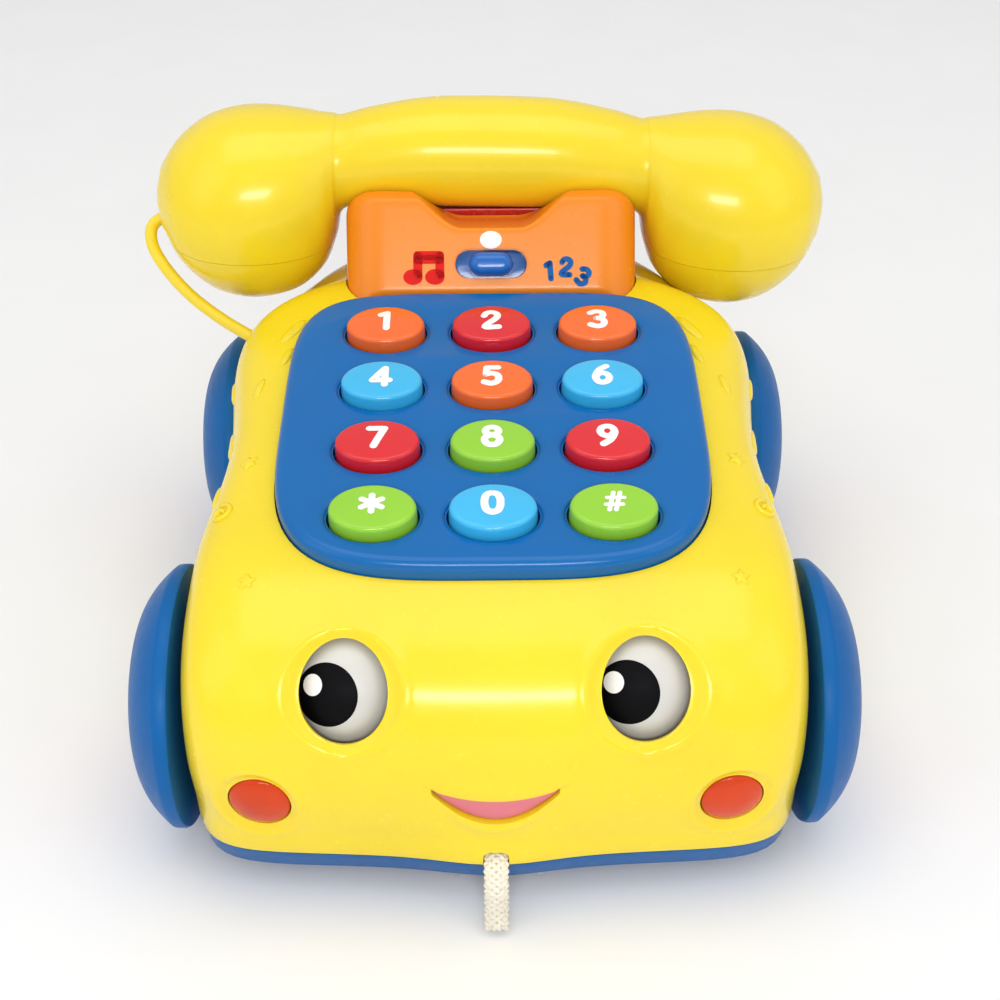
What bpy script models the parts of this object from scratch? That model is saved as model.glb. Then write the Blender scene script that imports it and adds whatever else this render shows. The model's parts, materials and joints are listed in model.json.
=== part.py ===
"""Pull-along toy telephone shaped like a smiling car.

A keypad sits on its back, a handset rests in a cradle at the rear, the eyes roll as it is pulled.
Everything is in metres: +X to the right, +Y to the back, +Z up from the ground the wheels stand on.
"""

import math

import bmesh
import bpy
import numpy as np
from mathutils import Matrix, Vector

MM = 0.001
GAP = 0.3 * MM  # between two pieces that touch
WALL = 2.2 * MM  # moulded plastic

# Wheels and axles
WHEEL_RADIUS = 29.0 * MM
FRONT_AXLE_Y = -49.5 * MM
REAR_AXLE_Y = 54.0 * MM
AXLE_RADIUS = 2.0 * MM
AXLE_HALF_LENGTH = 73.0 * MM
WHEEL_INNER_X = 66.8 * MM
CROWN_X = 69.5 * MM
DOME_RISE = 8.6 * MM  # how far the wheel's outer face bulges past its crown
DOME_FULLNESS = 2.4  # above 2 the dome is fuller than a parabola
DOME_FLAT_RADIUS = 8.0 * MM
HUB_RADIUS = 14.5 * MM
HUB_SEAT_X = 75.6 * MM
WHEEL_STEPS = 24

# Body, seen from the side: y, z and how square the section across the body is there
BODY_HALF_WIDTH = 66.0 * MM
WAIST_DEPTH = 4.1 * MM  # the sides draw in this much at the waist
WAIST_Y = -7.0 * MM
WAIST_LENGTH = 27.0 * MM
BODY_CENTRE = Vector((0.0, -7.5 * MM, 35.0 * MM))
BODY_OUTLINE = [
    (-79.0, 8.0, 10.0),
    (-82.0, 21.0, 10.0),
    (-83.3, 34.0, 10.5),
    (-81.3, 47.0, 10.0),
    (-75.0, 57.5, 9.0),
    (-63.5, 65.5, 7.8),
    (-49.5, 70.0, 7.5),
    (-22.5, 74.3, 7.0),
    (7.5, 79.0, 7.0),
    (34.0, 83.2, 6.0),
    (52.0, 84.8, 3.0),
    (67.0, 83.5, 2.8),
    (77.5, 77.0, 3.0),
    (83.5, 65.0, 4.5),
    (85.0, 46.0, 7.0),
    (83.5, 22.0, 9.0),
    (80.0, 6.0, 9.0),
    (60.0, -18.0, 9.0),
    (0.0, -30.0, 9.0),
    (-62.0, -16.0, 10.0),
]
NOSE_CROWN = 1.8 * MM  # the front bulges this much at its middle
CHIN_RISE = 2.4 * MM  # and the chin under the mouth this much more
CHIN_WIDTH = 15.0 * MM
CHIN_TOP_Z = 30.0 * MM
CHIN_FADE = 16.0 * MM
SHELL_BOTTOM_Z = 13.2 * MM
BASE_BOTTOM_Z = 6.0 * MM

# Keypad: its flat top leans forward with the body
KEYPAD_CENTRE = Vector((0.0, -13.6 * MM, 79.4 * MM))
KEYPAD_TILT = math.radians(9.2)
PANEL_HALF_WIDTH = 47.3 * MM
PANEL_HALF_LENGTH = 46.0 * MM
PANEL_SQUARENESS_FRONT = 3.8
PANEL_SQUARENESS_REAR = 5.0
PANEL_TOP = 2.4 * MM
PANEL_DEPTH = 8.0 * MM
PANEL_ROLL = 2.2 * MM
KEY_HALF_WIDTH = 9.4 * MM
KEY_HALF_LENGTH = 6.9 * MM
KEY_PITCH_X = 25.0 * MM
KEY_PITCH_Y = 20.4 * MM
KEY_FIRST_ROW = -31.7 * MM  # from the middle of the panel
KEY_RISE = 3.0 * MM
KEY_STEPS = 14
KEY_NAMES = [
    ("key_star", "key_0", "key_hash"),
    ("key_7", "key_8", "key_9"),
    ("key_4", "key_5", "key_6"),
    ("key_1", "key_2", "key_3"),
]
KEY_COLOURS = {
    "orange": ("key_1", "key_3", "key_5"),
    "red": ("key_2", "key_7", "key_9"),
    "light_blue": ("key_4", "key_6", "key_0"),
    "green": ("key_8", "key_star", "key_hash"),
}
MEMBRANE_TOP = -7.4 * MM
BOARD_TOP = -8.8 * MM

# Handset and cradle
HANDSET_Y = 62.5 * MM
HANDSET_SEAM_Z = 88.0 * MM
HANDSET_STATIONS = [  # x, top z, bottom z, half depth
    (0.0, 123.4, 96.0, 13.7),
    (16.0, 122.9, 95.9, 13.4),
    (30.0, 120.4, 95.6, 12.2),
    (37.6, 118.3, 94.6, 11.6),
    (39.6, 118.6, 87.5, 13.2),
    (42.6, 119.5, 80.0, 16.5),
    (48.5, 120.8, 74.0, 20.2),
    (56.0, 121.6, 71.2, 22.6),
    (64.0, 121.4, 70.8, 23.0),
    (72.0, 118.6, 73.4, 21.0),
    (79.0, 112.8, 79.6, 16.2),
    (83.4, 105.4, 87.4, 9.2),
]
HANDSET_HALF_LENGTH = 85.2 * MM
HANDSET_MIDDLE_Z = 96.4 * MM
CRADLE_CORNER_RADIUS = 10.0 * MM
CRADLE_CORNER_STEPS = 4
CRADLE_HALF_WIDTH = 36.3 * MM
CRADLE_FACE_FOOT = Vector((0.0, 33.4 * MM, 85.6 * MM))
CRADLE_FACE_SLOPE = math.radians(60.0)
LIP_Z = 98.7 * MM
SLOT_HALF_WIDTH = 8.8 * MM
SLOT_HALF_HEIGHT = 3.45 * MM
SLOT_UP_FACE = 6.4 * MM
HOOK_HALF_WIDTH = 14.0 * MM

# Face
EYE_X = 30.0 * MM
EYE_RADIUS = 14.5 * MM
EYE_CENTRE_Y = -64.4 * MM
EYE_CENTRE_Z = 45.6 * MM
EYE_LEAN = math.radians(30.0)
EYE_REST_SWING = math.radians(-12.0)
EYE_OPENING = (8.9 * MM, 10.3 * MM)
EYE_TAB = 8.5 * MM
HEADLIGHT = Vector((47.9 * MM, -82.0 * MM, 29.5 * MM))
HEADLIGHT_RADII = (6.4 * MM, 6.1 * MM)
SMILE_HALF_WIDTH = 12.8 * MM
SMILE_CORNER_Z = 34.7 * MM
SMILE_DIPS = (2.9 * MM, 9.0 * MM)  # of its upper and its lower edge
SMILE_TIP = 0.8 * MM  # its height at each end

# Screws that hold the base to the shell
BOSSES = [(9.0 * MM, -78.6 * MM), (44.0 * MM, 68.0 * MM)]
BOSS_RADIUS = 2.9 * MM
SCREW_RADIUS = 1.3 * MM

# Inside the base
BATTERY_RADIUS = 7.1 * MM
BATTERY_HALF_LENGTH = 25.0 * MM
BATTERY_Y = -3.0 * MM
DOOR_HALF = (29.0 * MM, 17.0 * MM)
SPEAKER = Vector((0.0, 60.0 * MM, 8.8 * MM))
SPEAKER_RADIUS = 17.0 * MM

# Cords, as points along them in millimetres
HANDSET_CORD = [
    (-86.6, 60.5, 92.0),
    (-88.4, 58.8, 89.6),
    (-88.4, 56.0, 85.6),
    (-84.6, 52.0, 81.0),
    (-78.0, 47.4, 77.6),
    (-70.0, 42.2, 75.4),
    (-63.0, 37.6, 73.4),
    (-56.0, 33.0, 70.8),
]
CORD_HOLE_OUT = Vector(HANDSET_CORD[-3]) * MM
CORD_HOLE_IN = Vector(HANDSET_CORD[-1]) * MM + Vector((4.0, -2.6, -1.4)) * MM
PULL_CORD = [
    (0.0, -76.0, 14.6),
    (0.0, -82.0, 14.8),
    (0.0, -86.2, 13.5),
    (0.0, -88.6, 10.0),
    (0.0, -89.8, 5.6),
    (0.0, -92.6, 1.9),
]

COLOURS = {  # colour, roughness, metallic
    "yellow": ((0.94, 0.74, 0.03), 0.25, 0.0),
    "blue": ((0.0, 0.12, 0.43), 0.3, 0.0),
    "dark_blue": ((0.01, 0.08, 0.32), 0.4, 0.0),
    "orange": ((0.88, 0.23, 0.02), 0.3, 0.0),
    "red": ((0.68, 0.01, 0.02), 0.3, 0.0),
    "light_blue": ((0.05, 0.42, 0.75), 0.3, 0.0),
    "green": ((0.28, 0.6, 0.03), 0.3, 0.0),
    "pink": ((0.65, 0.18, 0.22), 0.4, 0.0),
    "white": ((0.8, 0.8, 0.78), 0.25, 0.0),
    "lens": ((0.75, 0.06, 0.01), 0.15, 0.0),
    "rubber": ((0.6, 0.6, 0.58), 0.8, 0.0),
    "board": ((0.02, 0.2, 0.07), 0.6, 0.0),
    "black": ((0.02, 0.02, 0.02), 0.5, 0.0),
    "steel": ((0.6, 0.6, 0.6), 0.3, 1.0),
    "battery": ((0.25, 0.25, 0.27), 0.35, 0.6),
    "cord": ((0.8, 0.77, 0.68), 0.9, 0.0),
}


# Small tools


def collection(name):
    made = bpy.data.collections.new(name)
    bpy.context.scene.collection.children.link(made)
    return made


def material(name):
    found = bpy.data.materials.get(name)
    if found:
        return found
    colour, roughness, metallic = COLOURS[name]
    made = bpy.data.materials.new(name)
    made.use_nodes = True
    shader = made.node_tree.nodes["Principled BSDF"]
    shader.inputs["Base Color"].default_value = (*colour, 1.0)
    shader.inputs["Roughness"].default_value = roughness
    shader.inputs["Metallic"].default_value = metallic
    return made


def keep(obj, name, colour):
    """Names a piece, gives it its material and puts it with the toy's parts."""
    obj.name = name
    obj.data.name = name
    obj.data.materials.clear()
    obj.data.materials.append(material(colour))
    for other in list(obj.users_collection):
        other.objects.unlink(obj)
    PARTS.objects.link(obj)
    return obj


def as_cutter(obj):
    """Puts a shape with the cutters, which are not part of the toy."""
    for other in list(obj.users_collection):
        other.objects.unlink(obj)
    CUTTERS.objects.link(obj)
    obj.hide_render = True
    obj.display_type = "WIRE"
    return obj


def mesh_object(name, bm):
    bmesh.ops.recalc_face_normals(bm, faces=bm.faces)
    mesh = bpy.data.meshes.new(name)
    bm.to_mesh(mesh)
    bm.free()
    obj = bpy.data.objects.new(name, mesh)
    CUTTERS.objects.link(obj)
    return obj


def boolean(target, tool, operation):
    as_cutter(tool)
    step = target.modifiers.new(f"{operation.lower()} {tool.name}", "BOOLEAN")
    step.object = tool
    step.operation = operation
    step.solver = "EXACT"
    return target


def cut(target, *tools):
    for tool in tools:
        boolean(target, tool, "DIFFERENCE")
    return target


def join(target, *tools):
    for tool in tools:
        boolean(target, tool, "UNION")
    return target


def inside(target, tool):
    return boolean(target, tool, "INTERSECT")


def box(name, low, high):
    """A box between two corners given in metres."""
    low, high = Vector(low), Vector(high)
    bm = bmesh.new()
    bmesh.ops.create_cube(bm, size=1.0)
    bmesh.ops.scale(bm, vec=high - low, verts=bm.verts)
    bmesh.ops.translate(bm, vec=(low + high) / 2, verts=bm.verts)
    return mesh_object(name, bm)


def rod(name, start, end, radius, steps=16, end_radius=None):
    """A round bar, or a cone, from one point to another."""
    start, end = Vector(start), Vector(end)
    bm = bmesh.new()
    bmesh.ops.create_cone(
        bm,
        cap_ends=True,
        segments=steps,
        radius1=radius,
        radius2=radius if end_radius is None else end_radius,
        depth=(end - start).length,
    )
    turn = (end - start).to_track_quat("Z", "Y").to_matrix().to_4x4()
    bmesh.ops.transform(bm, matrix=Matrix.Translation((start + end) / 2) @ turn, verts=bm.verts)
    obj = mesh_object(name, bm)
    obj.data.shade_smooth()
    obj.data.set_sharp_from_angle(angle=math.radians(40))
    return obj


def turned(name, profile, steps):
    """A shape turned about its own Z axis from points (radius, height), outer side first, top to bottom."""
    mesh = bpy.data.meshes.new(name)
    points = [(radius, 0.0, height) for radius, height in profile]
    mesh.from_pydata(points, [(i, i + 1) for i in range(len(points) - 1)], [])
    obj = bpy.data.objects.new(name, mesh)
    CUTTERS.objects.link(obj)
    screw = obj.modifiers.new("turn", "SCREW")
    screw.steps = steps
    screw.render_steps = steps
    screw.use_merge_vertices = True
    screw.merge_threshold = 0.00001
    screw.use_smooth_shade = True
    return obj


def slab(name, outline, low, high, roll=0.0):
    """A flat shape with this outline in X and Y, from height low to high, its upper edge rounded by roll."""
    curve = bpy.data.curves.new(name, "CURVE")
    curve.dimensions = "2D"
    curve.fill_mode = "BOTH"
    curve.extrude = (high - low) / 2
    spline = curve.splines.new("POLY")
    spline.points.add(len(outline) - 1)
    for point, (x, y) in zip(spline.points, outline):
        point.co = (x, y, 0.0, 1.0)
    spline.use_cyclic_u = True
    flat = bpy.data.objects.new(name, curve)
    CUTTERS.objects.link(flat)
    seen = flat.evaluated_get(bpy.context.evaluated_depsgraph_get())
    mesh = bpy.data.meshes.new_from_object(seen)
    bpy.data.objects.remove(flat)
    bm = bmesh.new()
    bm.from_mesh(mesh)
    bpy.data.meshes.remove(mesh)
    bmesh.ops.remove_doubles(bm, verts=bm.verts, dist=0.00001)
    bmesh.ops.translate(bm, vec=(0.0, 0.0, (low + high) / 2), verts=bm.verts)
    if roll:
        upper = [e for e in bm.edges if e.is_manifold and all(v.co.z > high - 1e-6 for v in e.verts)]
        rim = [e for e in upper if e.calc_face_angle(0.0) > 1.0]
        bmesh.ops.bevel(bm, geom=rim, offset=roll, segments=2, affect="EDGES", profile=0.5)
    return mesh_object(name, bm)


def open_at(obj, level, up):
    """Takes away what lies below a level, or above it if up is -1, and leaves the surface open there."""
    bm = bmesh.new()
    bm.from_mesh(obj.data)
    every = [*bm.verts, *bm.edges, *bm.faces]
    bmesh.ops.bisect_plane(
        bm, geom=every, dist=1e-6, plane_co=(0, 0, level), plane_no=(0, 0, up), clear_inner=True
    )
    bm.to_mesh(obj.data)
    bm.free()
    return obj


def place(obj, matrix):
    obj.matrix_world = matrix
    return obj


def pivot(obj, point):
    """Puts a piece's origin at a point without moving the piece."""
    obj.data.transform(Matrix.Translation(-Vector(point)))
    obj.location = point
    return obj


def spline(stations, steps, closed):
    """Points of a smooth curve through rows of numbers, with this many steps between each pair."""
    rows = [np.array(row, dtype=float) for row in stations]
    count = len(rows)
    spans = count if closed else count - 1

    def row(index):
        return rows[index % count] if closed else rows[min(max(index, 0), count - 1)]

    points = []
    for span in range(spans):
        before, start, end, after = (row(span + shift) for shift in (-1, 0, 1, 2))
        for step in range(steps):
            t = step / steps
            bend = 2 * before - 5 * start + 4 * end - after
            twist = 3 * start - before - 3 * end + after
            points.append(0.5 * (2 * start + (end - before) * t + bend * t**2 + twist * t**3))
    if not closed:
        points.append(rows[-1])
    return points


def superellipse(half_width, half_length, front, rear, count):
    """An oval outline with flattened sides; front and rear say how square its two halves are."""
    points = []
    for index in range(count):
        angle = 2 * math.pi * index / count
        across, along = math.cos(angle), math.sin(angle)
        power = rear if along > 0 else front
        reach = (abs(across) ** power + abs(along) ** power) ** (-1 / power)
        points.append((half_width * reach * across, half_length * reach * along))
    return points


# Body


def waist_depth(y):
    """How far the sides draw in at this place along the body."""
    return WAIST_DEPTH * math.exp(-(((y - WAIST_Y) / WAIST_LENGTH) ** 2))


def body_point(y, z, squareness, angle):
    """A point of the body's surface: angle 0 is on the centre line, +-90 degrees is out at a side."""
    across, along = math.sin(angle), math.cos(angle)
    reach = (abs(across) ** squareness + along**squareness) ** (-1 / squareness)
    side, keep_in = reach * across, reach * along
    point_y = BODY_CENTRE.y + keep_in * (y * MM - BODY_CENTRE.y)
    point_z = BODY_CENTRE.z + keep_in * (z * MM - BODY_CENTRE.z)
    forward = min(max((-55 * MM - point_y) / (25 * MM), 0.0), 1.0)
    low = min(max((CHIN_TOP_Z - point_z) / CHIN_FADE, 0.0), 1.0)
    chin = CHIN_RISE * low * math.exp(-((BODY_HALF_WIDTH * side / CHIN_WIDTH) ** 2))
    point_y -= forward * (NOSE_CROWN * math.cos(side * math.pi / 2) ** 2 + chin)
    return Vector(((BODY_HALF_WIDTH - waist_depth(point_y)) * side, point_y, point_z))


def body_form(name, inset=0.0, across=14, steps=2):
    """The closed form of the body, without its openings; inset draws its surface in by that much."""
    bm = bmesh.new()
    angles = [math.pi * (i / across - 0.5) for i in range(1, across)]
    rings = []
    for y, z, squareness in spline(BODY_OUTLINE, steps, closed=True):
        rings.append([bm.verts.new(body_point(y, z, squareness, angle)) for angle in angles])
    reach = BODY_HALF_WIDTH - waist_depth(BODY_CENTRE.y)
    poles = [bm.verts.new(BODY_CENTRE + Vector((s * reach, 0, 0))) for s in (-1, 1)]
    for ring, after in zip(rings, rings[1:] + rings[:1]):
        for i in range(len(angles) - 1):
            bm.faces.new((ring[i], ring[i + 1], after[i + 1], after[i]))
        bm.faces.new((poles[0], ring[0], after[0]))
        bm.faces.new((ring[-1], poles[1], after[-1]))
    bmesh.ops.recalc_face_normals(bm, faces=bm.faces)
    if inset:
        bm.normal_update()
        for vert, normal in [(v, v.normal.copy()) for v in bm.verts]:
            vert.co -= normal * inset
    return mesh_object(name, bm)


def toward_side(obj, side, y):
    """Stands a turned shape on an axle, its height running outwards from the middle of the toy."""
    turn = Matrix.Rotation(side * math.pi / 2, 4, "Y")
    return place(obj, Matrix.Translation((0.0, y, WHEEL_RADIUS)) @ turn)


def wheel_places():
    for end, y in (("front", FRONT_AXLE_Y), ("rear", REAR_AXLE_Y)):
        for side_name, side in (("left", -1), ("right", 1)):
            yield f"{end}_{side_name}", side, y


def keypad_frame():
    return Matrix.Translation(KEYPAD_CENTRE) @ Matrix.Rotation(KEYPAD_TILT, 4, "X")


def eye_frame(side, swing=0.0):
    """Local Z is the axis the eye turns on, local -Y looks out of the face."""
    centre = Matrix.Translation((side * EYE_X, EYE_CENTRE_Y, EYE_CENTRE_Z))
    return centre @ Matrix.Rotation(-EYE_LEAN, 4, "X") @ Matrix.Rotation(swing, 4, "Z")


def oval_bar(name, radii, low, high, steps=24):
    """An oval bar along its own Z axis."""
    obj = turned(name, [(0.0, high), (1 * MM, high), (1 * MM, low), (0.0, low)], steps)
    obj.scale = (radii[0] / MM, radii[1] / MM, 1.0)
    return obj


def smile_outline(grow):
    """The crescent of the mouth, seen from the front."""
    count = 8
    across = [SMILE_HALF_WIDTH * (2 * i / count - 1) for i in range(count + 1)]
    wider = 1 + grow / SMILE_HALF_WIDTH

    def curve(x, dip):
        return -dip * (1 - (x / SMILE_HALF_WIDTH) ** 2)

    lower = [(x * wider, curve(x, SMILE_DIPS[1] - SMILE_TIP) - SMILE_TIP - grow) for x in across]
    upper = [(x * wider, curve(x, SMILE_DIPS[0]) + grow) for x in reversed(across)]
    return lower + upper


def smile(name, grow, front_y, back_y):
    stand = Matrix.Translation((0.0, 0.0, SMILE_CORNER_Z)) @ Matrix.Rotation(math.pi / 2, 4, "X")
    return place(slab(name, smile_outline(grow), -back_y, -front_y), stand)


def cradle_outline(grow=0.0):
    """The cradle seen from the side, as (y, z) points; grow makes the opening in the shell."""
    foot = CRADLE_FACE_FOOT
    rise = 24.0 * MM
    run = rise / math.tan(CRADLE_FACE_SLOPE)
    top = Vector((0.0, foot.y + run, foot.z + rise))
    return [
        (foot.y - grow, 77 * MM - grow),
        (foot.y - grow, foot.z),
        (top.y - 3.5 * MM - grow, top.z - 6 * MM),
        (top.y - 1.5 * MM, top.z - 3.2 * MM),
        (top.y + 1.0 * MM, top.z - 3.2 * MM),
        (top.y + 20 * MM, 100 * MM),
        (78.5 * MM, 100 * MM),
        (78.5 * MM + grow, 62 * MM - grow),
    ]


def cradle_column(name, grow=0.0):
    """A column along the cradle's sloping face whose round edges give the cradle its front corners."""
    half = CRADLE_HALF_WIDTH + grow
    radius = CRADLE_CORNER_RADIUS + grow
    outline = [(half, 80 * MM), (-half, 80 * MM)]
    for side, start in ((-1, 180), (1, 270)):
        for step in range(CRADLE_CORNER_STEPS + 1):
            angle = math.radians(start + 90 * step / CRADLE_CORNER_STEPS)
            x = side * (CRADLE_HALF_WIDTH - CRADLE_CORNER_RADIUS) + radius * math.cos(angle)
            outline.append((x, CRADLE_CORNER_RADIUS + radius * math.sin(angle)))
    lean = Matrix.Rotation(CRADLE_FACE_SLOPE - math.pi / 2, 4, "X")
    return place(slab(name, outline, -60 * MM, 60 * MM), Matrix.Translation(CRADLE_FACE_FOOT) @ lean)


def across_slab(name, outline, half_width):
    """A shape with this (y, z) outline that runs from side to side."""
    stand = Matrix(((0, 0, 1, 0), (1, 0, 0, 0), (0, 1, 0, 0), (0, 0, 0, 1)))
    obj = slab(name, outline, -half_width, half_width)
    return place(obj, stand)


def upper_shell():
    """The yellow body: a moulded skin with screw bosses, axle slots and every opening in it."""
    shell = keep(open_at(body_form("shell"), SHELL_BOTTOM_Z - 3 * MM, 1), "upper_shell", "yellow")
    skin = shell.modifiers.new("wall", "SOLIDIFY")
    skin.thickness = WALL
    skin.offset = -1.0
    form = body_form("form", inset=WALL / 2)
    for end, (x, y) in zip(("front", "rear"), BOSSES):
        for side in (-1, 1):
            boss = rod(f"boss_{end}{side}", (side * x, y, 0.0), (side * x, y, 0.1), BOSS_RADIUS)
            join(shell, inside(boss, form))
            pilot = ((side * x, y, 0.0), (side * x, y, 23 * MM))
            cut(shell, rod(f"pilot_{end}{side}", *pilot, SCREW_RADIUS + 0.15 * MM, steps=12))
    for name, side, y in wheel_places():
        slot_low = (side * 56 * MM, y - AXLE_RADIUS - GAP, 0.0)
        slot_high = (side * 70 * MM, y + AXLE_RADIUS + GAP, WHEEL_RADIUS + AXLE_RADIUS + GAP)
        low, high = zip(*(sorted(pair) for pair in zip(slot_low, slot_high)))
        cut(shell, box(f"axle_slot_{name}", low, high))
    outline = superellipse(
        PANEL_HALF_WIDTH + GAP,
        PANEL_HALF_LENGTH + GAP,
        PANEL_SQUARENESS_FRONT,
        PANEL_SQUARENESS_REAR,
        32,
    )
    cut(shell, place(slab("keypad_opening", outline, -20 * MM, 20 * MM), keypad_frame()))
    cradle_opening = across_slab("cradle_opening", cradle_outline(GAP), CRADLE_HALF_WIDTH + GAP)
    cut(shell, inside(cradle_opening, cradle_column("opening_column", GAP)))
    for side in (-1, 1):
        opening = oval_bar(f"eye_opening{side}", EYE_OPENING, 8 * MM, 25 * MM)
        look_out = eye_frame(side) @ Matrix.Rotation(math.pi / 2, 4, "X")
        opening.matrix_world = look_out @ Matrix.Diagonal((*opening.scale, 1.0))
        cut(shell, opening)
        lamp = oval_bar(f"headlight_opening{side}", HEADLIGHT_RADII, -10 * MM, 10 * MM, steps=20)
        cut(shell, stand_at(lamp, (side * HEADLIGHT.x, HEADLIGHT.y, HEADLIGHT.z)))
    cut(shell, smile("smile_opening", GAP, -95 * MM, -78 * MM))
    cut(shell, box("pull_cord_notch", (-2.7 * MM, -95 * MM, 0.0), (2.7 * MM, -75 * MM, 17.0 * MM)))
    cut(shell, rod("cord_hole", CORD_HOLE_OUT, CORD_HOLE_IN, 1.9 * MM, steps=12))
    cut(shell, box("below_shell", (-0.1, -0.1, -0.05), (0.1, 0.1, SHELL_BOTTOM_Z)))
    return shell


def stand_at(obj, centre):
    """Puts a shape with its Z axis pointing out of the front of the toy, keeping its oval."""
    turn = Matrix.Rotation(math.pi / 2, 4, "X")
    obj.matrix_world = Matrix.Translation(centre) @ turn @ Matrix.Diagonal((*obj.scale, 1.0))
    return obj


def base_tray():
    """The blue tray under the body: rim, floor, axle posts, battery box walls and sound holes."""
    tray = keep(body_form("tray"), "base_tray", "blue")
    inside(tray, box("tray_slab", (-0.1, -0.1, BASE_BOTTOM_Z), (0.1, 0.1, SHELL_BOTTOM_Z - GAP)))
    hollow = body_form("tray_hollow", inset=WALL)
    cut(tray, inside(hollow, box("above_floor", (-0.1, -0.1, BASE_BOTTOM_Z + WALL), (0.1, 0.1, 0.02))))
    for name, side, y in wheel_places():
        inner, outer = sorted((side * 45.0 * MM, side * 49.0 * MM))
        floor = BASE_BOTTOM_Z + WALL / 2
        post = box(f"axle_post_{name}", (inner, y - 5 * MM, floor), (outer, y + 5 * MM, 36 * MM))
        notch_low = (inner - MM, y - AXLE_RADIUS - 0.05 * MM, WHEEL_RADIUS - AXLE_RADIUS - 0.05 * MM)
        notch = box(f"axle_notch_{name}", notch_low, (outer + MM, y + AXLE_RADIUS + 0.05 * MM, 0.05))
        join(tray, cut(post, notch))
    battery_box(tray)
    for end, (x, y) in zip(("front", "rear"), BOSSES):
        for side in (-1, 1):
            low, high = (side * x, y, 0.0), (side * x, y, 0.05)
            cut(tray, rod(f"screw_hole_{end}{side}", low, high, SCREW_RADIUS + 0.25 * MM, steps=12))
    for ring, holes in ((0.0, 1), (7.5 * MM, 6)):
        for index in range(holes):
            angle = 2 * math.pi * index / holes
            x, y = SPEAKER.x + ring * math.cos(angle), SPEAKER.y + ring * math.sin(angle)
            cut(tray, rod(f"sound_hole_{holes}_{index}", (x, y, 0.0), (x, y, 0.02), 1.5 * MM, steps=8))
    return tray


def battery_box(tray):
    """Walls on the tray's floor round the batteries, and the doorway below them."""
    half_x, half_y = BATTERY_HALF_LENGTH + 4.2 * MM, 2 * BATTERY_RADIUS + 1.2 * MM
    floor = BASE_BOTTOM_Z + WALL / 2
    walls = box(
        "battery_walls",
        (-half_x - 1.6 * MM, BATTERY_Y - half_y - 1.6 * MM, floor),
        (half_x + 1.6 * MM, BATTERY_Y + half_y + 1.6 * MM, 25.2 * MM),
    )
    room = box(
        "battery_room",
        (-half_x, BATTERY_Y - half_y, BASE_BOTTOM_Z + WALL + 0.2 * MM),
        (half_x, BATTERY_Y + half_y, 23.6 * MM),
    )
    door_x, door_y = DOOR_HALF
    doorway = box(
        "battery_doorway",
        (-door_x + 2 * MM, BATTERY_Y - door_y + 1.6 * MM, 0.0),
        (door_x - 2 * MM, BATTERY_Y + door_y - 1.6 * MM, 12 * MM),
    )
    recess = box(
        "door_recess",
        (-door_x - GAP, BATTERY_Y - door_y - GAP, 0.0),
        (door_x + GAP, BATTERY_Y + door_y + GAP, BASE_BOTTOM_Z + 1.2 * MM),
    )
    cut(join(tray, walls), room, doorway, recess)


def battery_cover():
    door_x, door_y = DOOR_HALF
    cover = box(
        "cover",
        (-door_x, BATTERY_Y - door_y, BASE_BOTTOM_Z),
        (door_x, BATTERY_Y + door_y, BASE_BOTTOM_Z + 1.2 * MM - 0.1 * MM),
    )
    plug = box(
        "cover_plug",
        (-door_x + 2.4 * MM, BATTERY_Y - door_y + 2.0 * MM, BASE_BOTTOM_Z + 0.5 * MM),
        (door_x - 2.4 * MM, BATTERY_Y + door_y - 2.0 * MM, BASE_BOTTOM_Z + WALL),
    )
    keep(join(cover, plug), "battery_cover", "blue")


def batteries():
    for name, side in (("battery_front", -1), ("battery_rear", 1)):
        y = BATTERY_Y + side * (BATTERY_RADIUS + 0.3 * MM)
        z = BASE_BOTTOM_Z + WALL + BATTERY_RADIUS + 0.4 * MM
        tip = side * BATTERY_HALF_LENGTH
        cell = rod(name, (-tip + side * 1.2 * MM, y, z), (tip - side * 1.2 * MM, y, z), BATTERY_RADIUS)
        nub = rod(f"{name}_nub", (tip - side * 2 * MM, y, z), (tip, y, z), 2.7 * MM, steps=10)
        keep(join(cell, nub), name, "battery")
    for name, side in (("contacts_left", -1), ("contacts_right", 1)):
        near_end, far_end = BATTERY_HALF_LENGTH + 2.6 * MM, BATTERY_HALF_LENGTH + 3.8 * MM
        inner, outer = sorted((side * near_end, side * far_end))
        plate = box(name, (inner, BATTERY_Y - 13 * MM, 10.5 * MM), (outer, BATTERY_Y + 13 * MM, 21 * MM))
        keep(plate, name, "steel")


def boards_and_speaker():
    keep(box("board", (-32 * MM, -30 * MM, 40 * MM), (32 * MM, 24 * MM, 41.6 * MM)), "main_board", "board")
    foot = SPEAKER.z
    profile = [
        (0.0, foot + 8.5 * MM),
        (8.5 * MM, foot + 8.5 * MM),
        (8.5 * MM, foot + 4.0 * MM),
        (SPEAKER_RADIUS, foot + 2.2 * MM),
        (SPEAKER_RADIUS, foot),
        (0.0, foot),
    ]
    speaker = turned("speaker", profile, 20)
    speaker.location = (SPEAKER.x, SPEAKER.y, 0.0)
    keep(speaker, "speaker", "black")


def screws():
    for end, (x, y) in zip(("front", "rear"), BOSSES):
        for side_name, side in (("left", -1), ("right", 1)):
            name = f"screw_{end}_{side_name}"
            head = 1.8 * MM
            profile = [
                (0.0, 21.5 * MM),
                (SCREW_RADIUS, 20.5 * MM),
                (SCREW_RADIUS, BASE_BOTTOM_Z - 0.1 * MM),
                (2.5 * MM, BASE_BOTTOM_Z - 0.1 * MM),
                (2.0 * MM, BASE_BOTTOM_Z - head),
                (0.0, BASE_BOTTOM_Z - head),
            ]
            screw = turned(name, profile, 12)
            screw.location = (side * x, y, 0.0)
            keep(screw, name, "steel")


# Keypad


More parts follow.
